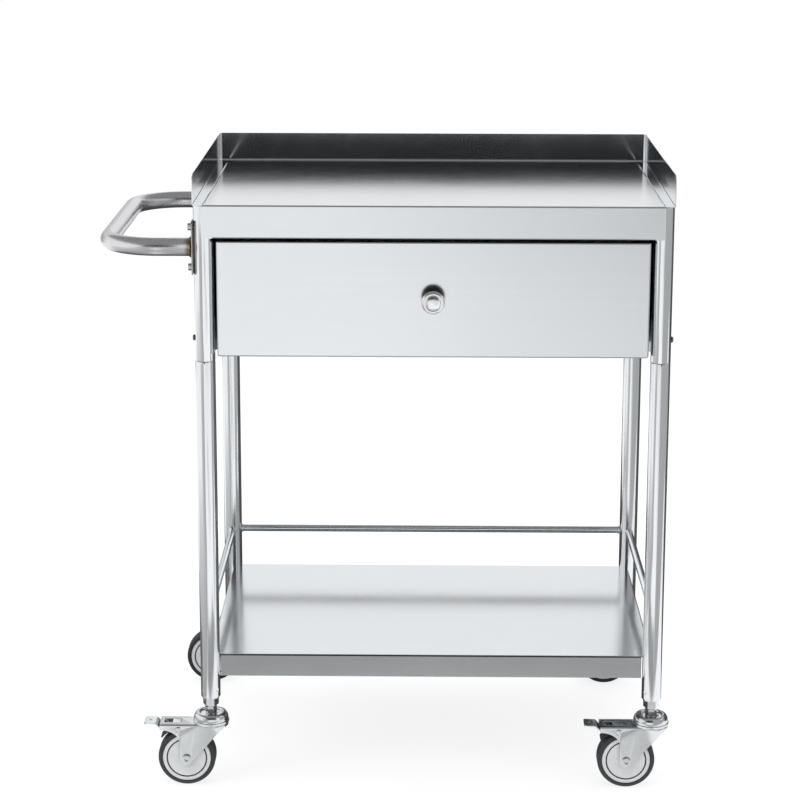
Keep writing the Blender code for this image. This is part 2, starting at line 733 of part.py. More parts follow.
def add_slides(frame, middle, drawer):
    """A telescopic slide on each side: a fixed, a middle and a drawer member, nested."""
    outer_half = SLIDE_HEIGHT / 2
    middle_half = outer_half - SLIDE_STEEL - SLIDE_BALL_SPACE
    inner_half = middle_half - SLIDE_STEEL - SLIDE_BALL_SPACE
    outer_web = SEAM
    middle_web = outer_web + SLIDE_STEEL + SLIDE_WEB_CLEARANCE
    inner_web = SLIDE_THICKNESS - SEAM
    inner_tip = middle_web + SLIDE_STEEL + SLIDE_WEB_CLEARANCE
    middle_tip = inner_web - SLIDE_STEEL - SLIDE_WEB_CLEARANCE
    outer = channel_outline(outer_web, outer_web + SLIDE_STEEL, SLIDE_OUTER_DEPTH, outer_half)
    mid = channel_outline(middle_web, middle_web + SLIDE_STEEL, middle_tip, middle_half)
    inner = channel_outline(inner_web, inner_web - SLIDE_STEEL, inner_tip, inner_half)
    members = (("outer", outer, frame), ("middle", mid, middle), ("inner", inner, drawer))
    for name, side in SIDES.items():
        for part, section, parent in members:
            label = f"slide_{part}_{name}"
            add_part(label, slide_member(label, section, side), ZINC_STEEL, parent)


def knob_drill():
    """Return the drill for the knob's screw through the front and the box."""
    drill = rod("drill", KNOB_SCREW_RADIUS + SCREW_CLEARANCE, 0.0, CART_DEPTH, SMALL_SIDES)
    return shifted(along_minus_y(drill), 0.0, 0.0, KNOB_Z)


def open_box_skin(low, high, missing_normal):
    """Return the skin of a box without the face that has the given normal."""
    shape = bmesh.new()
    bmesh.ops.create_cube(shape, size=1.0)
    size = [high[i] - low[i] for i in range(3)]
    centre = [(high[i] + low[i]) / 2 for i in range(3)]
    bmesh.ops.scale(shape, vec=size, verts=shape.verts)
    bmesh.ops.translate(shape, vec=centre, verts=shape.verts)
    shape.normal_update()
    missing = max(shape.faces, key=lambda face: face.normal.dot(Vector(missing_normal)))
    return shape, missing


def lipped_sheet(name, low, high, open_normal, lip):
    """Return a sheet box that is open on one side, with a lip folded in round the opening."""
    shape, face = open_box_skin(low, high, open_normal)
    bmesh.ops.inset_region(shape, faces=[face], thickness=lip)
    bmesh.ops.delete(shape, geom=[face], context="FACES_ONLY")
    return folded_sheet(name, shape, SHEET, BEND_RADIUS)


def add_drawer(drawer):
    """The drawer: a box with a folded rim, and a hollow front panel with folded edges."""
    half = FRONT_WIDTH / 2
    low = (-half, FRONT_FACE_Y, FRONT_BOTTOM)
    high = (half, FRONT_FACE_Y + FRONT_DEPTH, FRONT_TOP)
    front = lipped_sheet("drawer_front", low, high, (0, 1, 0), FRONT_LIP)
    add_part("drawer_front", cut(front, [knob_drill()]), BRUSHED_STEEL, drawer)
    low = (-BOX_X, BOX_FRONT_Y, BOX_BOTTOM)
    high = (BOX_X, BOX_FRONT_Y + BOX_LENGTH, BOX_BOTTOM + BOX_HEIGHT)
    tray = lipped_sheet("drawer_box", low, high, (0, 0, 1), BOX_RIM)
    drill = rod("drill", KNOB_SCREW_RADIUS + SCREW_CLEARANCE, 0.0, CART_DEPTH / 4, SMALL_SIDES)
    drill = shifted(along_minus_y(drill), 0.0, BOX_FRONT_Y + CART_DEPTH / 8, KNOB_Z)
    add_part("drawer_box", cut(tray, [drill]), BRUSHED_STEEL, drawer)


def add_knob(drawer):
    """The turned knob with a flared rim round a dome, and the screw from inside the drawer."""
    bore = KNOB_SCREW_RADIUS + SCREW_CLEARANCE
    flare = KNOB_RADIUS - KNOB_NECK_RADIUS
    flare_length = KNOB_RIM_START - KNOB_NECK_END
    dome_base = KNOB_REACH - KNOB_DOME_HEIGHT
    outline = [
        (0.0, KNOB_BORE_DEPTH),
        (bore, KNOB_BORE_DEPTH),
        (bore, 0.0),
        (KNOB_BASE_RADIUS, 0.0),
        (KNOB_BASE_RADIUS, KNOB_BASE_HEIGHT),
        (KNOB_NECK_RADIUS, KNOB_NECK_START),
    ]
    for step in range(ARC_STEPS + 1):
        angle = math.radians(90 * step / ARC_STEPS)
        radius = KNOB_NECK_RADIUS + flare * (1.0 - math.cos(angle))
        outline.append((radius, KNOB_NECK_END + flare_length * math.sin(angle)))
    outline.append((KNOB_RADIUS, KNOB_RIM_END - KNOB_RIM_ROUND))
    outline.append((KNOB_RADIUS - KNOB_RIM_ROUND, KNOB_RIM_END))
    for step in range(ARC_STEPS):
        angle = math.radians(90 * step / ARC_STEPS)
        height = dome_base + KNOB_DOME_HEIGHT * math.sin(angle)
        outline.append((KNOB_DOME_RADIUS * math.cos(angle), height))
    outline.append((0.0, KNOB_REACH))
    knob = along_minus_y(turned("drawer_knob", outline, HEAD_SIDES, closed=False))
    add_part("drawer_knob", knob, CHROME, drawer, (0.0, FRONT_FACE_Y - SEAM, KNOB_Z))
    head_y = BOX_FRONT_Y + SHEET + SEAM
    shank = head_y - FRONT_FACE_Y + KNOB_SCREW_ENGAGEMENT
    radius = KNOB_SCREW_RADIUS
    head = KNOB_SCREW_HEAD_RADIUS
    height = KNOB_SCREW_HEAD_HEIGHT
    outline = [
        (0.0, shank),
        (radius, shank),
        (radius, 0.0),
        (head, 0.0),
        (head, -height / 2),
        (head * HEAD_CROWN_SHARE, -height),
        (0.0, -height),
    ]
    screw = along_minus_y(turned("knob_screw", outline, SMALL_SIDES, closed=False))
    add_part("knob_screw", screw, ZINC_STEEL, drawer, (0.0, head_y, KNOB_Z))


def handle_path():
    """Return the handle's centre line in plan, from the front plate round to the rear one."""
    bar_x = -(CART_WIDTH / 2 + HANDLE_REACH - HANDLE_DIAMETER / 2)
    bend_x = bar_x + HANDLE_BEND_RADIUS
    bend_y = LEG_Y - HANDLE_BEND_RADIUS
    path = [(HANDLE_X, -LEG_Y), (HANDLE_X - WELD_LEG, -LEG_Y)]
    path += arc_points((bend_x, -bend_y), HANDLE_BEND_RADIUS, 270, 180, BEND_STEPS)
    path += arc_points((bend_x, bend_y), HANDLE_BEND_RADIUS, 180, 90, BEND_STEPS)
    path += [(HANDLE_X - WELD_LEG, LEG_Y), (HANDLE_X, LEG_Y)]
    return [Vector((x, y, 0.0)) for x, y in path]


def swept_tube(name, path, radii, wall, sides):
    """Sweep a hollow round section along a level path, with one outer radius for each point."""
    shape = bmesh.new()
    up = Vector((0.0, 0.0, 1.0))
    skins = {"outer": [], "inner": []}
    bore = min(radii) - wall
    for index, point in enumerate(path):
        before = path[max(index - 1, 0)]
        after = path[min(index + 1, len(path) - 1)]
        side = (after - before).normalized().cross(up)
        for skin, radius in (("outer", radii[index]), ("inner", bore)):
            ring = []
            for step in range(sides):
                angle = 2 * math.pi * step / sides
                offset = side * math.cos(angle) + up * math.sin(angle)
                ring.append(shape.verts.new(point + offset * radius))
            skins[skin].append(ring)
    for rings in skins.values():
        for first, second in zip(rings, rings[1:]):
            for step in range(sides):
                following = (step + 1) % sides
                corners = (first[step], first[following], second[following], second[step])
                shape.faces.new(corners)
    for end in (0, -1):
        outer = skins["outer"][end]
        inner = skins["inner"][end]
        for step in range(sides):
            following = (step + 1) % sides
            shape.faces.new((outer[step], outer[following], inner[following], inner[step]))
    bmesh.ops.recalc_face_normals(shape, faces=shape.faces)
    return to_mesh(name, shape, smooth_angle=SHEET_SMOOTH_ANGLE_DEG)


def hexagon(across_flats):
    """Return the corners of a hexagon about the origin."""
    return arc_points((0.0, 0.0), across_flats / math.sqrt(3), 0, 300, 5)


def add_handle(frame):
    """The bent tube handle, and its two end plates with the bolts that hold them to the legs."""
    path = handle_path()
    radii = [HANDLE_DIAMETER / 2] * len(path)
    radii[0] += WELD_LEG
    radii[-1] += WELD_LEG
    bar = swept_tube("handle_bar", path, radii, HANDLE_WALL, HANDLE_SIDES)
    add_part("handle_bar", bar, SATIN_STEEL, frame, (0.0, 0.0, HANDLE_HEIGHT))
    low = (-PLATE_THICKNESS, -PLATE_WIDTH / 2, -PLATE_HEIGHT / 2)
    high = (0.0, PLATE_WIDTH / 2, PLATE_HEIGHT / 2)
    bolts = [shifted(handle_bolt(), z=offset) for offset in (-BOLT_OFFSET, BOLT_OFFSET)]
    plate = joined(box("handle_plate", low, high), bolts)
    for name, end in (("front", -1), ("rear", 1)):
        place = (PLATE_X, end * LEG_Y, HANDLE_HEIGHT)
        add_part(f"handle_plate_{name}", plate, SATIN_STEEL, frame, place)


def handle_bolt():
    """Return a hex bolt and washer through an end plate, its head towards -X."""
    radius = BOLT_DIAMETER / 2
    washer_top = -PLATE_THICKNESS - WASHER_THICKNESS
    outline = [
        (0.0, BOLT_LENGTH - PLATE_THICKNESS),
        (radius, BOLT_LENGTH - PLATE_THICKNESS),
        (radius, -PLATE_THICKNESS / 2),
        (WASHER_RADIUS, -PLATE_THICKNESS / 2),
        (WASHER_RADIUS, washer_top),
        (0.0, washer_top),
    ]
    shank = turned("bolt", outline, SMALL_SIDES, closed=False)
    corners = hexagon(BOLT_HEAD_ACROSS_FLATS)
    head = prism("head", corners, washer_top - BOLT_HEAD_HEIGHT, washer_top + WASHER_THICKNESS / 2)
    return along_x(joined(shank, [head]))


def add_caster_stems(frame):
    """The stem screwed into each leg, with the race cap that it is riveted to."""
    outline = stem_outline() + cap_outline()
    top = STEM_HEX_BOTTOM + STEM_HEX_HEIGHT
    hex_bolt = prism("hex", hexagon(STEM_HEX_ACROSS_FLATS), STEM_HEX_BOTTOM, top)
    stem = joined(turned("caster_stem", outline, HEAD_SIDES, closed=False), [hex_bolt])
    for corner, (side, end) in CORNERS.items():
        add_part(f"caster_stem_{corner}", stem, ZINC_STEEL, frame, (side * LEG_X, end * LEG_Y, 0.0))


def stem_outline():
    """Return the stem's thread and the neck in its hexagon, from the top down to the cap's well."""
    thread_top = BUSH_BOTTOM + STEM_THREAD_LENGTH
    shoulder = STEM_HEX_BOTTOM + STEM_HEX_HEIGHT / 2
    return [
        (0.0, thread_top),
        (STEM_THREAD_RADIUS, thread_top),
        (STEM_THREAD_RADIUS, shoulder),
        (STEM_NECK_RADIUS, shoulder),
        (STEM_NECK_RADIUS, CAP_TOP - CAP_WELL_DEPTH),
    ]


def cap_outline():
    """Return the domed race cap, a ring round a well, down to the rivet head under the fork."""
    well_z = CAP_TOP - CAP_WELL_DEPTH
    rim_z = CAP_BOTTOM + CAP_RIM_HEIGHT
    rivet_top = FORK_TOP - FORK_STEEL - SEAM
    outline = [
        (CAP_RING_RADIUS - CAP_RING_WIDTH - CAP_STEEL / 2, well_z),
        (CAP_RING_RADIUS - CAP_RING_WIDTH, CAP_TOP),
        (CAP_RING_RADIUS, CAP_TOP),
    ]
    for angle in (math.radians(45), 0.0):
        reach = CAP_RADIUS - CAP_STEEL / 2 - CAP_RING_RADIUS
        fall = CAP_TOP - rim_z
        point = (CAP_RING_RADIUS + reach * math.cos(angle), rim_z + fall * math.sin(angle))
        outline.append(point)
    outline += [
        (CAP_RADIUS, rim_z - CAP_STEEL / 3),
        (CAP_RADIUS, CAP_BOTTOM),
        (CAP_RADIUS - CAP_STEEL, CAP_BOTTOM),
        (CAP_RADIUS - CAP_STEEL, rim_z - CAP_STEEL / 2),
        (CAP_RING_RADIUS, well_z - CAP_STEEL * 1.5),
        (STEM_NECK_RADIUS, well_z - CAP_STEEL),
        (STEM_NECK_RADIUS, rivet_top),
        (RIVET_HEAD_RADIUS, rivet_top),
        (RIVET_HEAD_RADIUS, rivet_top - RIVET_HEAD_HEIGHT / 2),
        (RIVET_HEAD_RADIUS * HEAD_CROWN_SHARE, rivet_top - RIVET_HEAD_HEIGHT),
        (0.0, rivet_top - RIVET_HEAD_HEIGHT),
    ]
    return outline


def fork_side_y(x):
    """Return how far out the fork's cheek lies at a distance x in front of the stem."""
    fold_x = FORK_FOLD_FROM_AXLE - CASTER_TRAIL
    flare_x = CROWN_RADIUS * math.cos(math.radians(CROWN_FLARE_DEG))
    flare_y = CROWN_RADIUS * math.sin(math.radians(CROWN_FLARE_DEG))
    if x <= fold_x:
        return FORK_HALF
    return FORK_HALF + (flare_y - FORK_HALF) * (x - fold_x) / (flare_x - fold_x)


def fork_front_edge_z(x):
    """Return the height of the cheek's slanted front edge at x."""
    slope = math.radians(FORK_FRONT_SLOPE_DEG)
    start_x = -CASTER_TRAIL + FORK_BOSS_RADIUS * math.sin(slope)
    start_z = WHEEL_RADIUS - FORK_BOSS_RADIUS * math.cos(slope)
    return start_z + (x - start_x) * math.tan(slope)


def cheek_outline(rear_x, rear_drop):
    """Return the flat cheek's lower outline as (x, z), from its rear top corner to the fold."""
    boss = FORK_BOSS_RADIUS
    edge_x = -CASTER_TRAIL - boss
    edge_z = WHEEL_RADIUS + FORK_REAR_EDGE_HEIGHT
    corner_z = FORK_TOP - rear_drop
    points = []
    if rear_x < edge_x:
        for step in range(ARC_STEPS + 1):
            angle = math.radians(90 - 90 * step / ARC_STEPS)
            x = rear_x + (edge_x - rear_x) * math.cos(angle)
            z = edge_z + (corner_z - edge_z) * math.sin(angle)
            points.append((x, z))
    else:
        points += [(rear_x, corner_z), (edge_x, edge_z)]
    end_deg = 270 + FORK_FRONT_SLOPE_DEG
    points += arc_points((-CASTER_TRAIL, WHEEL_RADIUS), boss, 180, end_deg, ARC_STEPS + 1)
    fold_x = FORK_FOLD_FROM_AXLE - CASTER_TRAIL
    points.append((fold_x, fork_front_edge_z(fold_x)))
    return points


def fork_skin(rear_x, rear_drop):
    """Return the outer skin of a fork: its crown, two cheeks bent at a fold and a nose lip."""
    fold_x = FORK_FOLD_FROM_AXLE - CASTER_TRAIL
    nose = arc_points((0.0, 0.0), CROWN_RADIUS, -CROWN_FLARE_DEG, CROWN_FLARE_DEG, 2 * ARC_STEPS)
    flare_x = nose[0][0]
    flare_z = fork_front_edge_z(flare_x)
    shape = bmesh.new()
    rear = {}
    fold = {}
    for side in (-1, 1):
        rear[side] = shape.verts.new((rear_x, side * FORK_HALF, FORK_TOP))
        fold[side] = shape.verts.new((fold_x, side * FORK_HALF, FORK_TOP))
    arc = [shape.verts.new((x, y, FORK_TOP)) for x, y in nose]
    shape.faces.new([rear[-1], fold[-1]] + arc + [fold[1], rear[1]])
    lip = []
    for x, y in nose:
        share = (x - flare_x) / (CROWN_RADIUS - flare_x)
        low_z = flare_z + (FORK_TOP - FORK_LIP_HEIGHT - flare_z) * share
        lip.append(shape.verts.new((x, y, low_z)))
    for index in range(len(arc) - 1):
        shape.faces.new((arc[index], arc[index + 1], lip[index + 1], lip[index]))
    for side, arc_end, lip_end in ((-1, arc[0], lip[0]), (1, arc[-1], lip[-1])):
        outline = cheek_outline(rear_x, rear_drop)
        low = [shape.verts.new((x, side * FORK_HALF, z)) for x, z in outline]
        shape.faces.new([fold[side], rear[side]] + low)
        shape.faces.new([fold[side], low[-1], lip_end, arc_end])
    return shape


def fork_mesh(name, braked):
    """Return a caster fork, drilled for its stem and axle, and slotted and pinned if braked."""
    rear_x = -BRAKED_FORK_LENGTH if braked else -PLAIN_FORK_LENGTH
    rear_drop = BRAKED_CHEEK_HEIGHT if braked else FORK_STEEL * 2
    mesh = folded_sheet(name, fork_skin(rear_x, rear_drop), FORK_STEEL, FORK_BEND_RADIUS)
    stem_hole = rod("hole", STEM_NECK_RADIUS + RUNNING_CLEARANCE, 0.0, LEG_BOTTOM, ROD_SIDES)
    axle_hole = along_minus_y(rod("hole", AXLE_RADIUS + SEAM, -FORK_GAP, FORK_GAP, ROD_SIDES))
    tools = [stem_hole, shifted(axle_hole, -CASTER_TRAIL, 0.0, WHEEL_RADIUS)]
    if braked:
        pin_hole = rod("hole", LEVER_PIN_RADIUS + SEAM, -FORK_GAP, FORK_GAP, SMALL_SIDES)
        tools.append(shifted(along_minus_y(pin_hole), -LEVER_PIN_FROM_STEM, 0.0, LEVER_PIN_Z))
        centre_x = -BRAKE_SLOT_FROM_STEM
        low = (centre_x - BRAKE_SLOT_LENGTH / 2, -BRAKE_SLOT_WIDTH / 2, FORK_TOP - 2 * FORK_STEEL)
        high = (centre_x + BRAKE_SLOT_LENGTH / 2, BRAKE_SLOT_WIDTH / 2, FORK_TOP + FORK_STEEL)
        tools.append(box("slot", low, high))
    return cut(mesh, tools)


def tyre_mesh():
    """Return the tyre, a band round the core with rounded shoulders, about Y."""
    half = WHEEL_WIDTH / 2
    inner = CORE_RADIUS + SEAM
    shoulder = TYRE_SHOULDER
    outline = [(inner, -half), (WHEEL_RADIUS - shoulder, -half)]
    outline += arc_points((WHEEL_RADIUS - shoulder, -half + shoulder), shoulder, 270, 360, 3)[1:]
    outline += arc_points((WHEEL_RADIUS - shoulder, half - shoulder), shoulder, 0, 90, 3)
    outline.append((inner, half))
    return along_minus_y(turned("tyre", outline, WHEEL_SIDES))


def core_mesh():
    """Return the wheel core, a disc with a round groove in each face, about Y."""
    half = WHEEL_WIDTH / 2 - DISC_RECESS
    bore = AXLE_RADIUS + RUNNING_CLEARANCE
    groove = GROOVE_DIAMETER / 2
    side = [
        (bore, half),
        (groove - GROOVE_WIDTH / 2, half),
        (groove, half - GROOVE_DEPTH),
        (groove + GROOVE_WIDTH / 2, half),
        (CORE_RADIUS, half),
    ]
    outline = side + [(radius, -height) for radius, height in reversed(side)]
    return along_minus_y(turned("core", outline, WHEEL_SIDES))


def axle_mesh():
    """Return the axle, a rivet with a round head on each cheek and a hollow in each end."""
    seat = FORK_HALF + SEAM
    face = seat + AXLE_HEAD_HEIGHT
    half = [
        (0.0, face - AXLE_HOLLOW_DEPTH),
        (AXLE_HOLLOW_RADIUS, face - AXLE_HOLLOW_DEPTH),
        (AXLE_HOLLOW_RADIUS, face),
        (AXLE_HEAD_RADIUS - AXLE_HEAD_CHAMFER, face),
        (AXLE_HEAD_RADIUS, seat),
        (AXLE_RADIUS, seat),
    ]
    outline = half + [(radius, -height) for radius, height in reversed(half)]
    return along_minus_y(turned("axle", outline, ROD_SIDES, closed=False))


def strip_outline(path, thickness):
    """Return the outline of a bent strip that follows a path of (x, z) points."""
    left = []
    right = []
    for index, point in enumerate(path):
        before = Vector(path[max(index - 1, 0)])
        here = Vector(point)
        after = Vector(path[min(index + 1, len(path) - 1)])
        first = (here - before).normalized() if index else (after - here).normalized()
        second = (after - here).normalized() if index < len(path) - 1 else first
        along = (first + second).normalized()
        reach = thickness / 2 / along.dot(first)
        normal = Vector((-along.y, along.x)) * reach
        left.append(tuple(here + normal))
        right.append(tuple(here - normal))
    return left + right[::-1]


def lever_path():
    """Return the brake lever's side view, from its pin end out to the pedal's tip."""
    pin_x = -LEVER_PIN_FROM_STEM
    step_x = -BRAKED_FORK_LENGTH - LEVER_FLAT_OVERHANG
    pedal_z = LEVER_PIN_Z + LEVER_STEP_RISE
    return [
        (pin_x, LEVER_PIN_Z),
        (step_x, LEVER_PIN_Z),
        (step_x - LEVER_STEP_LENGTH, pedal_z),
        (-LEVER_REACH, pedal_z + LEVER_TIP_RISE),
    ]


def tongue_mesh():
    """Return the lever's tongue, which stands up in the slot of the fork's top plate."""
    front_x = -BRAKE_SLOT_FROM_STEM + BRAKE_SLOT_LENGTH / 2 - TONGUE_SIDE_CLEARANCE
    half = BRAKE_SLOT_WIDTH / 2 - TONGUE_SIDE_CLEARANCE
    low = (front_x - TONGUE_LENGTH, -half, LEVER_PIN_Z)
    return box("tongue", low, (front_x, half, FORK_TOP - TONGUE_BELOW_TOP))


def lever_mesh():
    """Return the brake lever: a bent strip with a barrel round its pin and a tongue over it."""
    half = LEVER_WIDTH / 2
    strip = side_prism("lever", strip_outline(lever_path(), LEVER_STEEL), -half, half)
    barrel = rod("barrel", LEVER_PIN_RADIUS + SEAM + LEVER_BARREL_WALL, -half, half, ROD_SIDES)
    hole = rod("hole", LEVER_PIN_RADIUS + SEAM, -LEVER_WIDTH, LEVER_WIDTH, SMALL_SIDES)
    place = {"x": -LEVER_PIN_FROM_STEM, "z": LEVER_PIN_Z}
    lever = joined(strip, [shifted(along_minus_y(barrel), **place), tongue_mesh()])
    return cut(lever, [shifted(along_minus_y(hole), **place)])


def shoe_mesh():
    """Return the brake shoe: a pad curved over the tyre, with its back against the lever."""
    axle = (-CASTER_TRAIL, WHEEL_RADIUS)
    face = WHEEL_RADIUS + SHOE_GAP
    outline = arc_points(axle, face, SHOE_START_DEG, SHOE_END_DEG, ARC_STEPS)
    back_z = LEVER_PIN_Z - LEVER_STEEL / 2 - SEAM
    outline += arc_points(axle, face + SHOE_THICKNESS, SHOE_END_DEG, SHOE_END_DEG - SHOE_BACK_DEG, 1)
    outline.append((outline[-1][0], back_z))
    outline.append((outline[0][0], back_z))
    return side_prism("shoe", outline, -SHOE_WIDTH / 2, SHOE_WIDTH / 2)


def pin_mesh():
    """Return the brake lever's pin, headed on the outside of both cheeks."""
    seat = FORK_HALF + SEAM
    face = seat + LEVER_PIN_HEAD_HEIGHT
    half = [
        (0.0, face),
        (LEVER_PIN_HEAD_RADIUS * HEAD_CROWN_SHARE, face),
        (LEVER_PIN_HEAD_RADIUS, (seat + face) / 2),
        (LEVER_PIN_HEAD_RADIUS, seat),
        (LEVER_PIN_RADIUS, seat),
    ]
    outline = half + [(radius, -height) for radius, height in reversed(half)]
    return along_minus_y(turned("pin", outline, SMALL_SIDES, closed=False))


def add_casters(cart):
    """Four swivel casters that trail towards -X, the front two with a brake."""
    forks = {True: fork_mesh("fork_braked", True), False: fork_mesh("fork_plain", False)}
    shared = {"tyre": tyre_mesh(), "core": core_mesh(), "axle": axle_mesh()}
    brake = {"lever": lever_mesh(), "shoe": shoe_mesh(), "pin": pin_mesh()}
    axle_place = (-CASTER_TRAIL, 0.0, WHEEL_RADIUS)
    for corner, (side, end) in CORNERS.items():
        braked = end < 0
        swivel = add_empty(f"swivel_{corner}", cart, (side * LEG_X, end * LEG_Y, 0.0))
        add_part(f"fork_{corner}", forks[braked], ZINC_STEEL, swivel)
        add_part(f"axle_{corner}", shared["axle"], ZINC_STEEL, swivel, axle_place)
        wheel = add_empty(f"wheel_{corner}", swivel, axle_place)
        add_part(f"tyre_{corner}", shared["tyre"], TYRE_RUBBER, wheel)
        add_part(f"wheel_core_{corner}", shared["core"], WHEEL_PLASTIC, wheel)
        if braked:
            pin_place = (-LEVER_PIN_FROM_STEM, 0.0, LEVER_PIN_Z)
            add_part(f"brake_pin_{corner}", brake["pin"], ZINC_STEEL, swivel, pin_place)
            pedal = add_empty(f"pedal_{corner}", swivel, pin_place)
            back = tuple(-value for value in pin_place)
            add_part(f"brake_lever_{corner}", brake["lever"], ZINC_STEEL, pedal, back)
            add_part(f"brake_shoe_{corner}", brake["shoe"], SHOE_RUBBER, pedal, back)


def centre_over_origin(cart):
    """Move the cart so that the origin is on the floor under the centre of its box."""
    bpy.context.view_layer.update()
    corners = []
    for part in bpy.data.objects:
        if part.type == "MESH":
            corners += [part.matrix_world @ Vector(corner) for corner in part.bound_box]
    low = [min(corner[axis] for corner in corners) for axis in range(3)]
    high = [max(corner[axis] for corner in corners) for axis in range(3)]
    cart.location = (-(low[0] + high[0]) / 2, -(low[1] + high[1]) / 2, -low[2])
    bpy.context.view_layer.update()


def build_cart():
    """Build every sub-part under one empty."""
    clear_scene()
    cart = add_empty("cart", None)
    frame = add_empty("frame", cart)
    drawer = add_empty("drawer", cart)
    middle = add_empty("slide_middle", cart)
    add_legs(frame)
    add_leg_joints(frame)
    add_top_tray(frame)
    add_top_guard(frame)
    add_lower_shelf(frame)
    add_rails(frame)
    add_housing(frame)
    add_slides(frame, middle, drawer)
    add_drawer(drawer)
    add_knob(drawer)
    add_handle(frame)
    add_caster_stems(frame)
    add_casters(cart)
    centre_over_origin(cart)


build_cart()
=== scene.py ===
"""Dressed model of the two-tier steel utility cart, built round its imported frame.

Metres, +Z up. The drawer opens towards -Y and the push handle is on the -X side.
Places are measured from the point on the floor midway between the four legs, and a piece's
object is then set there, so that it lies where the frame's own node lies.
"""

import math

import bmesh
import bpy
from mathutils import Matrix, Vector


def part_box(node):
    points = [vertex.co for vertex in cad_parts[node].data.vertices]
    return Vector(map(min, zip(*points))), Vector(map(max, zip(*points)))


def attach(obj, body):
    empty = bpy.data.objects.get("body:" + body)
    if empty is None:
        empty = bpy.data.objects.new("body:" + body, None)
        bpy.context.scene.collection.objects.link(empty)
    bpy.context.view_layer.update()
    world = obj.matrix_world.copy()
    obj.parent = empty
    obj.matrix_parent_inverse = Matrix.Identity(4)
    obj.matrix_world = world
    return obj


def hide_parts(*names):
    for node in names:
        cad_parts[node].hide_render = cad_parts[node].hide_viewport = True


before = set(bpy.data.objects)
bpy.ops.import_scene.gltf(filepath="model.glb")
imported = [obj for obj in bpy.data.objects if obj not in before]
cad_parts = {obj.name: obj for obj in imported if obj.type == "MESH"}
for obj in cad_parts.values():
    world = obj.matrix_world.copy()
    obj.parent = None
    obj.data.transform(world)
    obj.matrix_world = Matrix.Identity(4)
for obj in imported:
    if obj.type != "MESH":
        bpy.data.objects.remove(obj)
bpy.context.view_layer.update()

# Whole cart
CART_WIDTH = 0.600
CART_DEPTH = 0.400
SEAM = 0.0003
LEG_DIAMETER = 0.0254
LEG_WALL = 0.0012
LEG_BOTTOM = 0.120
LEG_JOINT = 0.570
TRAY_TOP = 0.770
SHEET = 0.0010

# Leg details
LEG_END_ROUND = 0.0007
CRIMP_ABOVE_BOTTOM = 0.0105
CRIMP_RADIUS = 0.0026
CRIMP_DEPTH = 0.0006
CRIMP_DEG = 48.0
NOTCH_WIDTH = 0.0036
NOTCH_HEIGHT = 0.0034
SLEEVE_WALL = 0.0015
SLEEVE_BELOW_JOINT = 0.040
SLEEVE_ABOVE_JOINT = 0.060
LEG_SCREW_ABOVE_JOINT = 0.029
LEG_SCREW_HEAD_DIAMETER = 0.0078
LEG_SCREW_HEAD_HEIGHT = 0.0024
LEG_SCREW_LENGTH = 0.0055
LEG_SCREW_DIAMETER = 0.0040
SCREW_FLAT_SHARE = 0.45
SCREW_RIM_SHARE = 0.25
RECESS_DEPTH = 0.0012
RECESS_REACH = 0.0021
RECESS_WIDTH = 0.0008

# Rails over the shelf
RAIL_DIAMETER = 0.0100
RAIL_HEIGHT = 0.232
RAIL_BEAD_RADIUS = 0.0011
RAIL_BEAD_SINK = 0.4
RAIL_BEAD_RISE = 0.7

# Drawer
FRONT_FACE_Y = -0.199
KNOB_Z = 0.652

# Knob
KNOB_REACH = 0.028
KNOB_RADIUS = 0.0147
KNOB_NECK_RADIUS = 0.0056
KNOB_BASE_RADIUS = 0.0082
KNOB_BASE_HEIGHT = 0.0018
KNOB_NECK_START = 0.0045
KNOB_NECK_END = 0.0085
KNOB_RIM_START = 0.0215
KNOB_RIM_END = 0.0256
KNOB_RIM_ROUND = 0.0035
KNOB_DOME_RADIUS = 0.0095
KNOB_DOME_HEIGHT = 0.0021
KNOB_FOOT_ROUND = 0.0009
KNOB_BORE_RADIUS = 0.0023
KNOB_BORE_DEPTH = 0.012

# Push handle
HANDLE_HEIGHT = 0.715
HANDLE_DIAMETER = 0.023
HANDLE_WALL = 0.0012
HANDLE_REACH = 0.125
HANDLE_BEND_RADIUS = 0.0675
WELD_LEG = 0.0022
WELD_SPREAD = 1.3
WELD_RISE = 0.85
WELD_RIPPLE = 0.12
WELD_RIPPLES = 17.0
WELD_SWELL = 0.07
WELD_SWELLS = 5.0
WELD_RINGS = (0.0, 0.25, 0.5, 0.75, 1.0, 1.6)
PLATE_HEIGHT = 0.069
PLATE_WIDTH = 0.023
PLATE_THICKNESS = 0.0015
PLATE_CORNER = 0.0035
PLATE_EDGE_ROUND = 0.0004
BOLT_OFFSET = 0.0255
BOLT_DIAMETER = 0.0050
BOLT_LENGTH = 0.012
BOLT_HEAD_ACROSS_FLATS = 0.0080
BOLT_HEAD_HEIGHT = 0.0040
WASHER_RADIUS = 0.0052
WASHER_THICKNESS = 0.0010

# Casters
WHEEL_DIAMETER = 0.075
WHEEL_WIDTH = 0.024
TYRE_DEPTH = 0.0060
TYRE_SHOULDER = 0.0042
DISC_RECESS = 0.0006
GROOVE_DIAMETER = 0.0515
GROOVE_WIDTH = 0.0018
GROOVE_DEPTH = 0.0016
CASTER_TRAIL = 0.0318
FORK_GAP = 0.027
FORK_STEEL = 0.002
FORK_TOP = 0.0850
FORK_BEND_RADIUS = 0.0022
FORK_BOSS_RADIUS = 0.0085
FORK_REAR_EDGE_HEIGHT = 0.022
FORK_FRONT_SLOPE_DEG = 50.5
FORK_FOLD_FROM_AXLE = 0.0127
FORK_LIP_HEIGHT = 0.004
FORK_EDGE_ROUND = 0.0003
CROWN_RADIUS = 0.0225
CROWN_FLARE_DEG = 62.0
BRAKED_FORK_LENGTH = 0.0665
BRAKED_CHEEK_HEIGHT = 0.0078
PLAIN_FORK_LENGTH = 0.0300
AXLE_RADIUS = 0.0040
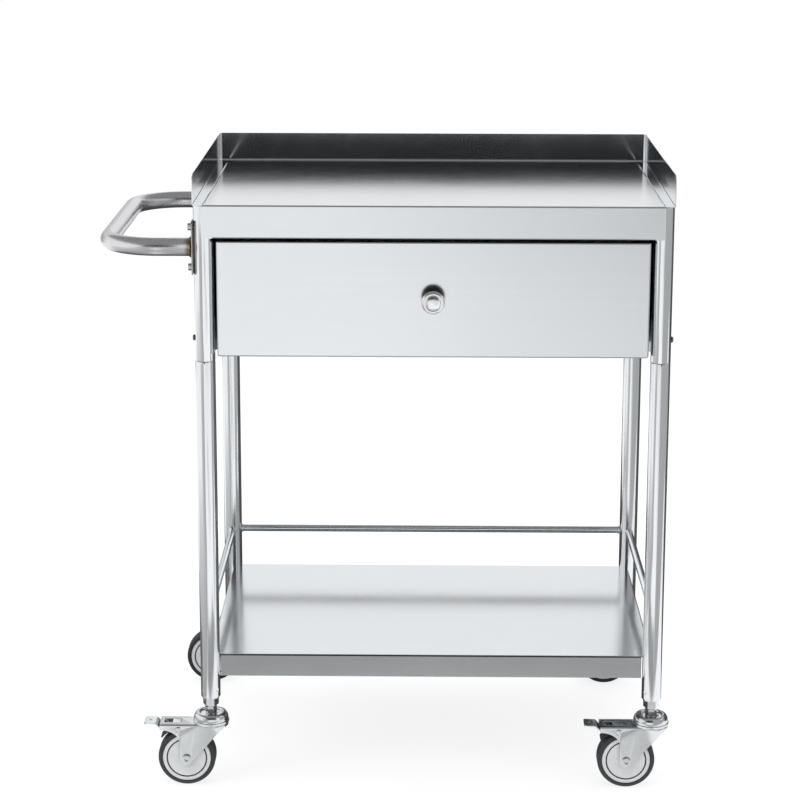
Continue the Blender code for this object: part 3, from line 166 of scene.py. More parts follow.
AXLE_HEAD_RADIUS = 0.0056
AXLE_HEAD_HEIGHT = 0.0020
AXLE_HEAD_ROUND = 0.0012
AXLE_HOLLOW_RADIUS = 0.0024
AXLE_HOLLOW_DEPTH = 0.0026
AXLE_HOLLOW_TAPER = 0.9
RUNNING_CLEARANCE = 0.0003

# Caster stem and swivel head
BUSH_LENGTH = 0.032
BUSH_RING_HEIGHT = 0.0014
BUSH_RING_RADIUS = 0.0113
BUSH_NECK_RADIUS = 0.0070
BUSH_NECK_WALL = 0.0010
BUSH_HEX_ACROSS_FLATS = 0.0178
BUSH_HEX_RISE = 0.0012
STEM_THREAD_RADIUS = 0.0049
STEM_THREAD_LENGTH = 0.026
STEM_HEX_ACROSS_FLATS = 0.0130
STEM_HEX_HEIGHT = 0.0100
STEM_SHOULDER = 0.0008
STEM_NECK_RADIUS = 0.0060
RIVET_HEAD_RADIUS = 0.0090
RIVET_HEAD_HEIGHT = 0.0022
CAP_HEIGHT = 0.0132
CAP_RADIUS = 0.0235
CAP_RING_RADIUS = 0.0180
CAP_RING_WIDTH = 0.0028
CAP_WELL_DEPTH = 0.0023
CAP_STEEL = 0.0020
CAP_RIM_HEIGHT = 0.0036
CAP_WELL_ROUND = 0.0010
CAP_RIM_ROUND = 0.0006

# Brake
LEVER_STEEL = 0.0018
LEVER_WIDTH = 0.024
LEVER_PIN_FROM_STEM = 0.0421
LEVER_PIN_BELOW_TOP = 0.0062
LEVER_PIN_RADIUS = 0.0020
LEVER_PIN_HEAD_RADIUS = 0.0032
LEVER_PIN_HEAD_HEIGHT = 0.0012
LEVER_BARREL_WALL = 0.0013
LEVER_REACH = 0.0870
LEVER_FLAT_OVERHANG = 0.0005
LEVER_STEP_LENGTH = 0.0050
LEVER_STEP_RISE = 0.0058
LEVER_TIP_RISE = 0.0004
LEVER_BEND = 0.0024
LEVER_CORNER = 0.004
LEVER_EDGE_ROUND = 0.0003
LEVER_BUMP_RADIUS = 0.0019
LEVER_BUMP_HEIGHT = 0.0007
LEVER_BUMP_SINK = 1.4
TONGUE_LENGTH = 0.0110
TONGUE_SIDE_CLEARANCE = 0.0006
TONGUE_BELOW_TOP = 0.0003
SHOE_GAP = 0.0042
SHOE_WIDTH = 0.018
SHOE_START_DEG = 117.0
SHOE_END_DEG = 141.0
SHOE_BACK_DEG = 13.0
SHOE_THICKNESS = 0.0020
SHOE_EDGE_ROUND = 0.0004
BRAKE_SLOT_LENGTH = 0.023
BRAKE_SLOT_WIDTH = 0.014
BRAKE_SLOT_FROM_STEM = 0.0500

# Turned hexagon heads: how far the chamfer falls, and how the turning tool passes the corners
CHAMFER_FALL = 0.65
CHAMFER_INSIDE = 0.97
CHAMFER_OUTSIDE = 1.02

# Facets
TUBE_SIDES = 72
HANDLE_SIDES = 48
ROD_SIDES = 32
WHEEL_SIDES = 96
HEAD_SIDES = 64
SMALL_SIDES = 24
ARC_STEPS = 10
BEND_STEPS = 24
CRIMP_RINGS = 24

# The longest share of a line that a rounded corner takes
ROUND_LIMIT = 0.45

# Sizes that follow from the ones above
LEG_RADIUS = LEG_DIAMETER / 2
LEG_X = CART_WIDTH / 2 - LEG_RADIUS
LEG_Y = CART_DEPTH / 2 - LEG_RADIUS
LEG_BORE = LEG_RADIUS - LEG_WALL
SLEEVE_RADIUS = LEG_BORE - SEAM
PLATE_X = -(CART_WIDTH / 2 + SEAM)
HANDLE_X = PLATE_X - PLATE_THICKNESS - SEAM
WHEEL_RADIUS = WHEEL_DIAMETER / 2
CORE_RADIUS = WHEEL_RADIUS - TYRE_DEPTH
FORK_HALF = FORK_GAP / 2 + FORK_STEEL
CAP_BOTTOM = FORK_TOP + SEAM
CAP_TOP = CAP_BOTTOM + CAP_HEIGHT
STEM_HEX_BOTTOM = CAP_TOP - CAP_WELL_DEPTH + STEM_SHOULDER
LEVER_PIN_Z = FORK_TOP - LEVER_PIN_BELOW_TOP
BUSH_BOTTOM = STEM_HEX_BOTTOM + STEM_HEX_HEIGHT + SEAM

CORNERS = {
    "front_left": (-1, -1),
    "front_right": (1, -1),
    "rear_left": (-1, 1),
    "rear_right": (1, 1),
}


def middle_of_legs():
    """Return the point on the floor midway between the four legs."""
    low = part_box("upper_leg_front_left")[0]
    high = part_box("upper_leg_rear_right")[1]
    return Vector(((low.x + high.x) / 2, (low.y + high.y) / 2, 0.0))


MIDDLE = middle_of_legs()


# Mesh helpers

def smoothed(mesh, sharp_deg):
    """Return the mesh smooth shaded up to the given edge angle."""
    mesh.shade_smooth()
    mesh.set_sharp_from_angle(angle=math.radians(sharp_deg))
    return mesh


def to_mesh(name, shape, sharp_deg=30.0):
    """Turn a bmesh into a smooth shaded mesh."""
    mesh = bpy.data.meshes.new(name)
    shape.to_mesh(mesh)
    shape.free()
    return smoothed(mesh, sharp_deg)


def add_object(name, data):
    """Return a new object in the scene with the mesh, camera or lamp that it shows."""
    item = bpy.data.objects.new(name, data)
    bpy.context.scene.collection.objects.link(item)
    return item


def move_mesh(mesh, matrix):
    """Return the mesh after moving its vertices."""
    mesh.transform(matrix)
    return mesh


def shifted(mesh, x=0.0, y=0.0, z=0.0):
    """Return a moved copy of the mesh."""
    return move_mesh(mesh.copy(), Matrix.Translation((x, y, z)))


def oval_points(centre, reach, start_deg, end_deg, steps):
    """Return the points of an oval's arc in a plane, both ends included."""
    points = []
    for step in range(steps + 1):
        angle = math.radians(start_deg + (end_deg - start_deg) * step / steps)
        points.append((centre[0] + reach[0] * math.cos(angle), centre[1] + reach[1] * math.sin(angle)))
    return points


def arc_points(centre, radius, start_deg, end_deg, steps):
    """Return the points of an arc in a plane, both ends included."""
    return oval_points(centre, (radius, radius), start_deg, end_deg, steps)


def rounded(outline, radius, steps=4):
    """Return an open outline with its inner corners rounded."""
    points = [Vector(outline[0])]
    for before, here, after in zip(outline, outline[1:], outline[2:]):
        corner = Vector(here)
        first = Vector(before) - corner
        second = Vector(after) - corner
        reach = min(radius, first.length * ROUND_LIMIT, second.length * ROUND_LIMIT)
        start = corner + first.normalized() * reach
        end = corner + second.normalized() * reach
        for step in range(steps + 1):
            share = step / steps
            low = start.lerp(corner, share)
            high = corner.lerp(end, share)
            points.append(low.lerp(high, share))
    points.append(Vector(outline[-1]))
    return [tuple(point) for point in points]


def doubled(half):
    """Return half an outline of (radius, height) points with its mirror image below it."""
    return half + [(radius, -height) for radius, height in reversed(half)]


def turned(name, outline, sides, closed=True, sharp_deg=30.0):
    """Revolve an outline of (radius, height) points about Z."""
    shape = bmesh.new()
    verts = [shape.verts.new((radius, 0.0, height)) for radius, height in outline]
    followers = verts[1:] + verts[:1] if closed else verts[1:]
    edges = [shape.edges.new(pair) for pair in zip(verts, followers)]
    origin = Vector()
    bmesh.ops.spin(
        shape, geom=verts + edges, cent=origin, axis=(0.0, 0.0, 1.0), dvec=origin,
        angle=2 * math.pi, steps=sides, use_merge=True,
    )
    bmesh.ops.remove_doubles(shape, verts=shape.verts, dist=1e-6)
    bmesh.ops.recalc_face_normals(shape, faces=shape.faces)
    return to_mesh(name, shape, sharp_deg)


def rod(name, radius, bottom, top, sides):
    """Return a solid upright cylinder."""
    outline = [(0.0, bottom), (radius, bottom), (radius, top), (0.0, top)]
    return turned(name, outline, sides, closed=False)


def prism(name, outline, bottom, top):
    """Extrude an outline of (x, y) points from one height to another."""
    shape = bmesh.new()
    face = shape.faces.new([shape.verts.new((x, y, bottom)) for x, y in outline])
    grown = bmesh.ops.extrude_face_region(shape, geom=[face])
    raised = [item for item in grown["geom"] if isinstance(item, bmesh.types.BMVert)]
    bmesh.ops.translate(shape, verts=raised, vec=(0.0, 0.0, top - bottom))
    bmesh.ops.recalc_face_normals(shape, faces=shape.faces)
    return to_mesh(name, shape)


def box(name, low, high):
    """Return a box between two corners."""
    outline = [(low[0], low[1]), (high[0], low[1]), (high[0], high[1]), (low[0], high[1])]
    return prism(name, outline, low[2], high[2])


def along_x(mesh):
    """Turn a mesh made along +Z so that it runs along +X."""
    return move_mesh(mesh, Matrix.Rotation(math.radians(90), 4, "Y"))


def along_minus_y(mesh):
    """Turn a mesh made along +Z so that it runs along -Y."""
    return move_mesh(mesh, Matrix.Rotation(math.radians(90), 4, "X"))


def side_prism(name, outline, y_low, y_high):
    """Extrude an outline of (x, z) points along Y."""
    return along_minus_y(prism(name, outline, -y_high, -y_low))


def evaluated(name, mesh, set_modifiers):
    """Return the mesh that the modifiers added by set_modifiers give."""
    holder = add_object(name, mesh)
    helpers = set_modifiers(holder) or []
    graph = bpy.context.evaluated_depsgraph_get()
    result = bpy.data.meshes.new_from_object(holder.evaluated_get(graph), depsgraph=graph)
    result.name = name
    for item in [holder] + helpers:
        bpy.data.objects.remove(item, do_unlink=True)
    return result


def combined(mesh, tools, operation):
    """Return the mesh after an exact boolean with each tool mesh in turn."""

    def set_modifiers(holder):
        helpers = []
        for tool in tools:
            helper = add_object("tool", tool)
            modifier = holder.modifiers.new("combine", "BOOLEAN")
            modifier.solver = "EXACT"
            modifier.operation = operation
            modifier.object = helper
            helpers.append(helper)
        return helpers

    return smoothed(evaluated(mesh.name, mesh, set_modifiers), 30.0)


def cut(mesh, tools):
    """Return the mesh with the tool meshes cut out of it."""
    return combined(mesh, tools, "DIFFERENCE")


def joined(mesh, tools):
    """Return one body from the mesh and the tool meshes."""
    return combined(mesh, tools, "UNION")


def edged(mesh, width, segments=3, angle_deg=35.0):
    """Return the mesh with its sharp edges rounded."""

    def set_modifiers(holder):
        modifier = holder.modifiers.new("edge", "BEVEL")
        modifier.width = width
        modifier.segments = segments
        modifier.limit_method = "ANGLE"
        modifier.angle_limit = math.radians(angle_deg)

    return smoothed(evaluated(mesh.name, mesh, set_modifiers), 40.0)


def face_outward(shape):
    """Point an open skin's faces away from the middle of the piece."""
    bmesh.ops.recalc_face_normals(shape, faces=shape.faces)
    middle = sum((vert.co for vert in shape.verts), Vector()) / len(shape.verts)
    outward = 0.0
    for face in shape.faces:
        outward += face.calc_area() * face.normal.dot(face.calc_center_median() - middle)
    if outward < 0.0:
        bmesh.ops.reverse_faces(shape, faces=shape.faces)


def folded_sheet(name, shape, thickness, bend_radius, segments=5):
    """Bend the folds of an outer skin and give the sheet its thickness inwards."""
    face_outward(shape)

    def set_modifiers(holder):
        bend = holder.modifiers.new("bend", "BEVEL")
        bend.width = bend_radius
        bend.segments = segments
        bend.limit_method = "ANGLE"
        bend.angle_limit = math.radians(40)
        steel = holder.modifiers.new("steel", "SOLIDIFY")
        steel.thickness = thickness
        steel.offset = -1.0
        steel.use_even_offset = True

    return smoothed(evaluated(name, to_mesh(name, shape), set_modifiers), 35.0)


def hexagon(across_flats):
    """Return the corners of a hexagon about the origin."""
    return arc_points((0.0, 0.0), across_flats / math.sqrt(3), 0, 300, 5)


def hex_head(name, across_flats, bottom, top, chamfer_top=True, chamfer_bottom=False):
    """Return a hexagonal head whose corners are chamfered as on a turned bar."""
    head = prism(name, hexagon(across_flats), bottom, top)
    flat = across_flats / 2
    corner = across_flats / math.sqrt(3)
    drop = (corner - flat) * CHAMFER_FALL
    inside = flat * CHAMFER_INSIDE
    outside = corner * CHAMFER_OUTSIDE
    low = bottom + drop if chamfer_bottom else bottom - drop
    high = top - drop if chamfer_top else top + drop
    outline = [
        (0.0, low - drop),
        (inside, low - drop),
        (outside, low),
        (outside, high),
        (inside, high + drop),
        (0.0, high + drop),
    ]
    barrel = turned("barrel", outline, HEAD_SIDES, closed=False)
    return combined(head, [barrel], "INTERSECT")


# Placing helpers

def add_piece(name, mesh, material, body, nodes, place):
    """Set a mesh in its place as a piece that moves with a body and stands for CAD nodes."""
    piece = add_object(name, mesh)
    piece.location = MIDDLE + Vector(place)
    if not mesh.materials:
        mesh.materials.append(material)
    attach(piece, body)
    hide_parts(*nodes)


def add_at_corner(corner, name, mesh, material, body, node, place):
    """Set a mesh at one corner as a piece that stands for that corner's own node."""
    add_piece(f"{name}_{corner}", mesh, material, body, [f"{node}_{corner}"], place)


def paint(node, material):
    """Give a CAD node that is shown as it is a better material."""
    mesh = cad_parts[node].data
    mesh.materials.clear()
    mesh.materials.append(material)


# Materials

def new_material(name):
    """Return a new node material with its tree and its shader."""
    material = bpy.data.materials.new(name)
    material.use_nodes = True
    tree = material.node_tree
    return material, tree, tree.nodes["Principled BSDF"]


def add_node(tree, kind, **values):
    """Add a node and set its properties and its inputs by name."""
    node = tree.nodes.new(kind)
    for key, value in values.items():
        if hasattr(node, key):
            setattr(node, key, value)
        else:
            node.inputs[key].default_value = value
    return node


def object_noise(tree, scale, detail=2.0, roughness=0.5, offset=(0.0, 0.0, 0.0)):
    """Return a noise over the piece's own coordinates, even or stretched by one scale for each axis."""
    if isinstance(scale, float):
        scale = (scale, scale, scale)
    where = add_node(tree, "ShaderNodeTexCoord")
    mapping = add_node(tree, "ShaderNodeMapping", Scale=scale, Location=offset)
    noise = add_node(tree, "ShaderNodeTexNoise", Scale=1.0, Detail=detail, Roughness=roughness)
    tree.links.new(where.outputs["Object"], mapping.inputs["Vector"])
    tree.links.new(mapping.outputs["Vector"], noise.inputs["Vector"])
    return noise.outputs["Fac"]


def ranged(tree, value, low, high, to_low, to_high):
    """Return a value mapped from one range to another, held at its ends."""
    limits = {"From Min": low, "From Max": high, "To Min": to_low, "To Max": to_high}
    node = add_node(tree, "ShaderNodeMapRange", **limits)
    tree.links.new(value, node.inputs["Value"])
    return node.outputs["Result"]


def noise_to(tree, noise, low, high):
    """Return a noise's usual span mapped to another range."""
    return ranged(tree, noise, NOISE_LOW, NOISE_HIGH, low, high)


def object_axes(tree):
    """Return the piece's own X, Y and Z."""
    where = add_node(tree, "ShaderNodeTexCoord")
    split = add_node(tree, "ShaderNodeSeparateXYZ")
    tree.links.new(where.outputs["Object"], split.inputs["Vector"])
    return split.outputs


def maths(tree, operation, first, second=None):
    """Return the result of a math node on sockets or plain numbers."""
    node = add_node(tree, "ShaderNodeMath", operation=operation)
    for index, value in enumerate((first, second)):
        if value is None:
            continue
        if isinstance(value, (int, float)):
            node.inputs[index].default_value = value
        else:
            tree.links.new(value, node.inputs[index])
    return node.outputs["Value"]


def mixed(tree, share, first, second):
    """Return a colour mixed from two colours by a share."""
    node = tree.nodes.new("ShaderNodeMix")
    node.data_type = "RGBA"
    for index, value in ((0, share), (6, first), (7, second)):
        if isinstance(value, bpy.types.NodeSocket):
            tree.links.new(value, node.inputs[index])
        elif index == 0:
            node.inputs[index].default_value = value
        else:
            node.inputs[index].default_value = (*value, 1.0)
    return node.outputs[2]


def add_bump(tree, shader, height, strength, distance):
    """Bump the surface by a height, over whatever bump it already has."""
    bump = add_node(tree, "ShaderNodeBump", Strength=strength, Distance=distance)
    tree.links.new(height, bump.inputs["Height"])
    below = shader.inputs["Normal"].links
    if below:
        tree.links.new(below[0].from_socket, bump.inputs["Normal"])
    tree.links.new(bump.outputs["Normal"], shader.inputs["Normal"])


def steel_material(
    name, tint, roughness, grain, streak, depth=0.012, spread=0.02, tone=0.02, wave=0.03
):
    """Return bare steel with a fine directional grain, broad faint streaks and handling marks."""
    material, tree, shader = new_material(name)
    shader.inputs["Metallic"].default_value = 1.0
    lines = object_noise(tree, grain, detail=2.0, roughness=0.6)
    broad = object_noise(tree, streak, detail=3.0, roughness=0.6, offset=(2.2, 0.9, 1.4))
    cloud = object_noise(tree, CLOUD_SCALE, detail=3.0, roughness=0.55, offset=(3.1, 1.7, 0.4))
    marks = object_noise(tree, MARK_SCALE, detail=4.0, roughness=0.6, offset=(0.7, 5.2, 2.3))
    fine = noise_to(tree, lines, roughness - spread, roughness + spread)
    cloudy = ranged(tree, cloud, *CLOUD_SPAN, -spread / 2, spread / 2)
    smudge = ranged(tree, marks, *MARK_SPAN, 0.0, spread)
    total = maths(tree, "ADD", maths(tree, "ADD", fine, cloudy), smudge)
    tree.links.new(total, shader.inputs["Roughness"])
    dark = tuple(value * (1.0 - tone) for value in tint)
    streaks = ranged(tree, broad, *STREAK_SPAN, 0.0, STREAK_SHARE)
    share = maths(tree, "ADD", streaks, noise_to(tree, lines, 0.0, 1.0 - STREAK_SHARE))
    tree.links.new(mixed(tree, share, dark, tint), shader.inputs["Base Color"])
    if depth > 0.0:
        add_bump(tree, shader, lines, depth, GRAIN_BUMP)
    add_bump(tree, shader, cloud, wave, WAVE_BUMP)
    return material


def tinted_weld_material(name, tint, roughness, grain, streak, start_x):
    """Return handle steel with the straw, brown and blue that welding leaves beside the plates."""
    material = steel_material(name, tint, roughness, grain, streak, 0.0)
    tree = material.node_tree
    shader = tree.nodes["Principled BSDF"]
    distance = maths(tree, "SUBTRACT", start_x, object_axes(tree)["X"])
    wander = object_noise(tree, WANDER_SCALE, detail=3.0)
    uneven = maths(tree, "ADD", distance, noise_to(tree, wander, -TINT_WANDER, TINT_WANDER))
    ramp = add_node(tree, "ShaderNodeValToRGB")
    stops = ramp.color_ramp.elements
    stops[0].position = 0.0
    stops[0].color = (*HEAT_DARK, 1.0)
    stops[1].position = 1.0
    stops[1].color = (*tint, 1.0)
    for position, colour in (
        (0.15, HEAT_BROWN), (0.30, HEAT_TAN), (0.50, HEAT_STRAW), (0.72, HEAT_BLUE)
    ):
        stop = stops.new(position)
        stop.color = (*colour, 1.0)
    tree.links.new(ranged(tree, uneven, 0.0, TINT_LENGTH, 0.0, 1.0), ramp.inputs["Fac"])
    far = ranged(tree, uneven, TINT_LENGTH * TINT_FADE, TINT_LENGTH, 0.0, 1.0)
    plain = shader.inputs["Base Color"].links[0].from_socket
    tree.links.new(mixed(tree, far, ramp.outputs["Color"], plain), shader.inputs["Base Color"])
    return material


def plastic_material(name, tint, roughness, specks):
    """Return moulded plastic or rubber with a fine orange-peel bump and slight unevenness."""
    material, tree, shader = new_material(name)
    cloud = object_noise(tree, MOULD_SCALE, detail=3.0)
    fine = object_noise(tree, specks, detail=2.0, offset=(1.3, 0.2, 4.4))
    uneven = noise_to(tree, cloud, roughness - PLASTIC_SMOOTHER, roughness + PLASTIC_ROUGHER)
    tree.links.new(uneven, shader.inputs["Roughness"])
    dark = tuple(value * PLASTIC_SHADE for value in tint)
    colour = mixed(tree, noise_to(tree, cloud, 0.0, 1.0), dark, tint)
    tree.links.new(colour, shader.inputs["Base Color"])
    add_bump(tree, shader, fine, PLASTIC_PEEL, MOULD_BUMP)
    return material


def ringed(material, radius, width, colour):
    """Darken a ring round the piece's own Y axis, where dust and shade sit in its groove."""
    tree = material.node_tree
    shader = tree.nodes["Principled BSDF"]
    axes = object_axes(tree)
    x2 = maths(tree, "POWER", axes["X"], 2.0)
    z2 = maths(tree, "POWER", axes["Z"], 2.0)
    reach = maths(tree, "SQRT", maths(tree, "ADD", x2, z2))
    offset = maths(tree, "ABSOLUTE", maths(tree, "SUBTRACT", reach, radius))
    share = ranged(tree, offset, width * RING_SOLID, width * RING_FADE, 1.0, 0.0)
    plain = shader.inputs["Base Color"].links[0].from_socket
    tree.links.new(mixed(tree, share, plain, colour), shader.inputs["Base Color"])


SHEET_TINT = (0.755, 0.777, 0.797)
# The housing and drawer box are painted darker, as the shade inside the gaps round the drawer
HOUSING_SHADE_TINT = (0.55, 0.56, 0.57)
BOX_SHADE_TINT = (0.62, 0.63, 0.64)
TUBE_TINT = (0.82, 0.842, 0.862)
ZINC_TINT = (0.78, 0.80, 0.815)
HANDLE_TINT = (0.75, 0.745, 0.77)
PLATE_TINT = (0.55, 0.54, 0.53)
SCREW_TINT = (0.20, 0.20, 0.21)
SLIDE_TINT = (0.10, 0.10, 0.105)
# Near black on the knob's neck is painted shade, for the dark crescent above its head
KNOB_NECK_SHADE_TINT = (0.05, 0.05, 0.052)
CHROME_TINT = (0.86, 0.86, 0.87)
TYRE_TINT = (0.030, 0.033, 0.037)
SHOE_TINT = (0.018, 0.019, 0.021)
DISC_TINT = (0.70, 0.715, 0.73)
GROOVE_TINT = (0.035, 0.038, 0.042)

# Heat colours beside a weld, from its edge outwards, and how far along the tube they reach
HEAT_DARK = (0.11, 0.080, 0.062)
HEAT_BROWN = (0.19, 0.13, 0.095)
HEAT_TAN = (0.40, 0.32, 0.25)
HEAT_STRAW = (0.64, 0.59, 0.54)
HEAT_BLUE = (0.71, 0.72, 0.76)
TINT_LENGTH = 0.014
TINT_FADE = 0.7
TINT_WANDER = 0.0018

# Scales of the noises over a metre, the spans of them that are used, and the heights of bumps
CLOUD_SCALE = 6.0
MARK_SCALE = 38.0
MOULD_SCALE = 60.0
WANDER_SCALE = 160.0
NOISE_LOW = 0.3
NOISE_HIGH = 0.7
CLOUD_SPAN = (0.35, 0.7)
MARK_SPAN = (0.56, 0.74)
STREAK_SPAN = (0.34, 0.66)
STREAK_SHARE = 0.7
GRAIN_BUMP = 0.0002
MOULD_BUMP = 0.0003
WAVE_BUMP = 0.002

# Plastic and rubber: how much smoother, rougher and darker they are in places, and their peel
PLASTIC_SMOOTHER = 0.06
PLASTIC_ROUGHER = 0.08
PLASTIC_SHADE = 0.88
PLASTIC_PEEL = 0.12
RING_SOLID = 0.42
RING_FADE = 0.60

# Grain frequencies across and along the brushing, and those of the broad streaks
FINE = 1900.0
LONG = 11.0
BROAD = 130.0
LONGER = 1.6
GRAIN_X = (LONG, FINE, FINE), (LONGER, BROAD, BROAD)
GRAIN_Y = (FINE, LONG, FINE), (BROAD, LONGER, BROAD)
GRAIN_Z = (FINE, FINE, LONG), (BROAD, BROAD, LONGER)
GRAIN_EVEN = 420.0, 30.0

FRONT_STEEL = steel_material("front_steel_brushed", SHEET_TINT, 0.16, *GRAIN_X)
# The drawer box's darker steel is painted shade from inside the cart
BOX_STEEL = steel_material("box_steel_painted_shade", BOX_SHADE_TINT, 0.30, *GRAIN_X)
TRAY_STEEL = steel_material("tray_steel", SHEET_TINT, 0.16, *GRAIN_X, depth=0.004)
GUARD_STEEL = steel_material("guard_steel", SHEET_TINT, 0.11, *GRAIN_Y, depth=0.004)
# The housing's darker steel is painted shade from inside the cart
HOUSING_STEEL = steel_material("housing_steel_painted_shade", HOUSING_SHADE_TINT, 0.30, *GRAIN_Y)
TUBE_STEEL = steel_material("tube_steel_satin", TUBE_TINT, 0.13, *GRAIN_Z)
RAIL_X_STEEL = steel_material("rail_steel_long", TUBE_TINT, 0.15, *GRAIN_X)
RAIL_Y_STEEL = steel_material("rail_steel_side", TUBE_TINT, 0.15, *GRAIN_Y)
HANDLE_STEEL = tinted_weld_material("handle_steel", HANDLE_TINT, 0.29, *GRAIN_EVEN, HANDLE_X)
PLATE_STEEL = steel_material("plate_steel", PLATE_TINT, 0.30, *GRAIN_EVEN)
ZINC_STEEL = steel_material(
    "zinc_plate", ZINC_TINT, 0.17, *GRAIN_EVEN, depth=0.02, spread=0.04, tone=0.10, wave=0.35
)
SCREW_STEEL = steel_material("screw_steel", SCREW_TINT, 0.30, *GRAIN_EVEN)
SLIDE_STEEL = steel_material("slide_black_coated", SLIDE_TINT, 0.35, *GRAIN_Y)
POLISH = {"depth": 0.01, "spread": 0.015, "tone": 0.01}
CHROME = steel_material("knob_chrome", CHROME_TINT, 0.24, *GRAIN_EVEN, **POLISH)
# The knob's neck steel is painted near black as shade
KNOB_NECK_SHADE = steel_material("knob_neck_painted_shade", KNOB_NECK_SHADE_TINT, 0.20, *GRAIN_EVEN, **POLISH)
TYRE_RUBBER = plastic_material("tyre_rubber", TYRE_TINT, 0.60, specks=900.0)
SHOE_RUBBER = plastic_material("shoe_rubber", SHOE_TINT, 0.58, specks=900.0)
WHEEL_PLASTIC = plastic_material("wheel_plastic", DISC_TINT, 0.40, specks=1100.0)
ringed(WHEEL_PLASTIC, GROOVE_DIAMETER / 2, GROOVE_WIDTH, GROOVE_TINT)


# Legs

def post_mesh():
    """Return an upper post as a hollow tube with rounded ends."""
    bottom = LEG_JOINT + SEAM / 2
    top = TRAY_TOP - SHEET - SEAM
    skin = [(LEG_BORE, bottom), (LEG_RADIUS, bottom), (LEG_RADIUS, top), (LEG_BORE, top)]
    return turned("post", rounded(skin, LEG_END_ROUND), TUBE_SIDES)


def pressed(mesh):
    """Press round crimp marks into a lower leg, where it grips the bush inside."""
    height = LEG_BOTTOM + CRIMP_ABOVE_BOTTOM
    centres = []
    for quarter in range(4):
        angle = math.radians(-90 + CRIMP_DEG + quarter * 90)
        centres.append(Vector((LEG_RADIUS * math.cos(angle), LEG_RADIUS * math.sin(angle), height)))
    for vert in mesh.vertices:
        across = Vector((vert.co.x, vert.co.y, 0.0))
        if across.length < LEG_RADIUS - LEG_WALL / 2:
            continue
        for centre in centres:
            away = (vert.co - centre).length / CRIMP_RADIUS
            if away < 1.0:
                depth = CRIMP_DEPTH * (1.0 + math.cos(math.pi * away)) / 2
                vert.co -= across.normalized() * depth
    return mesh


def bush_hexagon():
    """Return the hexagon of a leg's bush, bored so that it sits round the bush's neck."""
    low = BUSH_BOTTOM + BUSH_HEX_RISE
    high = LEG_BOTTOM - BUSH_RING_HEIGHT / 2
    head = hex_head("bush_hex", BUSH_HEX_ACROSS_FLATS, low, high, False, True)
    bore = rod("bore", BUSH_NECK_RADIUS - BUSH_NECK_WALL, BUSH_BOTTOM, LEG_BOTTOM, ROD_SIDES)
    return cut(head, [bore])


def lower_leg_mesh():
    """Return a lower leg with its threaded bush and its crimp marks."""
    top = LEG_JOINT - SEAM / 2
    bush_bore = STEM_THREAD_RADIUS + SEAM
    crimp_zone = LEG_BOTTOM + CRIMP_ABOVE_BOTTOM * 2
    outline = [
        (bush_bore, BUSH_BOTTOM),
        (BUSH_NECK_RADIUS, BUSH_BOTTOM),
        (BUSH_NECK_RADIUS, LEG_BOTTOM - BUSH_RING_HEIGHT),
        (BUSH_RING_RADIUS, LEG_BOTTOM - BUSH_RING_HEIGHT),
        (BUSH_RING_RADIUS, LEG_BOTTOM),
        (LEG_RADIUS - LEG_END_ROUND, LEG_BOTTOM),
    ]
    inset = LEG_RADIUS - LEG_END_ROUND
    start = LEG_BOTTOM + LEG_END_ROUND
    outline += arc_points((inset, start), LEG_END_ROUND, 270, 360, 3)[1:]
    for ring in range(1, CRIMP_RINGS + 1):
        outline.append((LEG_RADIUS, start + (crimp_zone - start) * ring / CRIMP_RINGS))
    outline += arc_points((inset, top - LEG_END_ROUND), LEG_END_ROUND, 0, 90, 3)
    outline += [
        (LEG_BORE, top),
        (LEG_BORE, BUSH_BOTTOM + BUSH_LENGTH),
        (bush_bore, BUSH_BOTTOM + BUSH_LENGTH),
    ]
    leg = turned("lower_leg", outline, TUBE_SIDES)
    half = NOTCH_WIDTH / 2
    corners = [(-half, top + SHEET), (0.0, top - NOTCH_HEIGHT), (half, top + SHEET)]
    notch = side_prism("notch", corners, -LEG_DIAMETER, -LEG_BORE / 2)
    return pressed(joined(cut(leg, [notch]), [bush_hexagon()]))


def cross_recess():
    """Return the two arms of the cross-shaped cutter for a screw head, about the origin."""
    corner = Vector((RECESS_REACH, RECESS_WIDTH / 2, RECESS_DEPTH))
    arms = [box("arm", -corner, corner), box("arm", -corner, corner)]
    move_mesh(arms[1], Matrix.Rotation(math.radians(90.0), 4, "Z"))
    return arms


def screw_mesh():
    """Return a leg's pan-head screw along +X, with the sleeve that it is driven into."""
    head = LEG_SCREW_HEAD_HEIGHT
    head_radius = LEG_SCREW_HEAD_DIAMETER / 2
    shank = LEG_SCREW_DIAMETER / 2
    outline = [(0.0, -LEG_SCREW_LENGTH), (shank, -LEG_SCREW_LENGTH), (shank, SEAM), (head_radius, SEAM)]
    centre = (head_radius * SCREW_FLAT_SHARE, SEAM + head * SCREW_RIM_SHARE)
    reach = (head_radius * (1.0 - SCREW_FLAT_SHARE), head * (1.0 - SCREW_RIM_SHARE))
    outline += oval_points(centre, reach, 0, 90, ARC_STEPS)[:-1]
    outline.append((0.0, SEAM + head))
    screw = turned("leg_screw", outline, ROD_SIDES, closed=False)
    arms = [shifted(arm, z=SEAM + head) for arm in cross_recess()]
    screw = along_x(cut(screw, arms))
    bottom = LEG_JOINT - SLEEVE_BELOW_JOINT
    top = LEG_JOINT + SLEEVE_ABOVE_JOINT
    bore = SLEEVE_RADIUS - SLEEVE_WALL
    outline = [(bore, bottom), (SLEEVE_RADIUS, bottom), (SLEEVE_RADIUS, top), (bore, top)]
    sleeve = turned("sleeve", outline, TUBE_SIDES)
    height = LEG_JOINT + LEG_SCREW_ABOVE_JOINT
    return joined(sleeve, [shifted(screw, LEG_RADIUS, 0.0, height)])


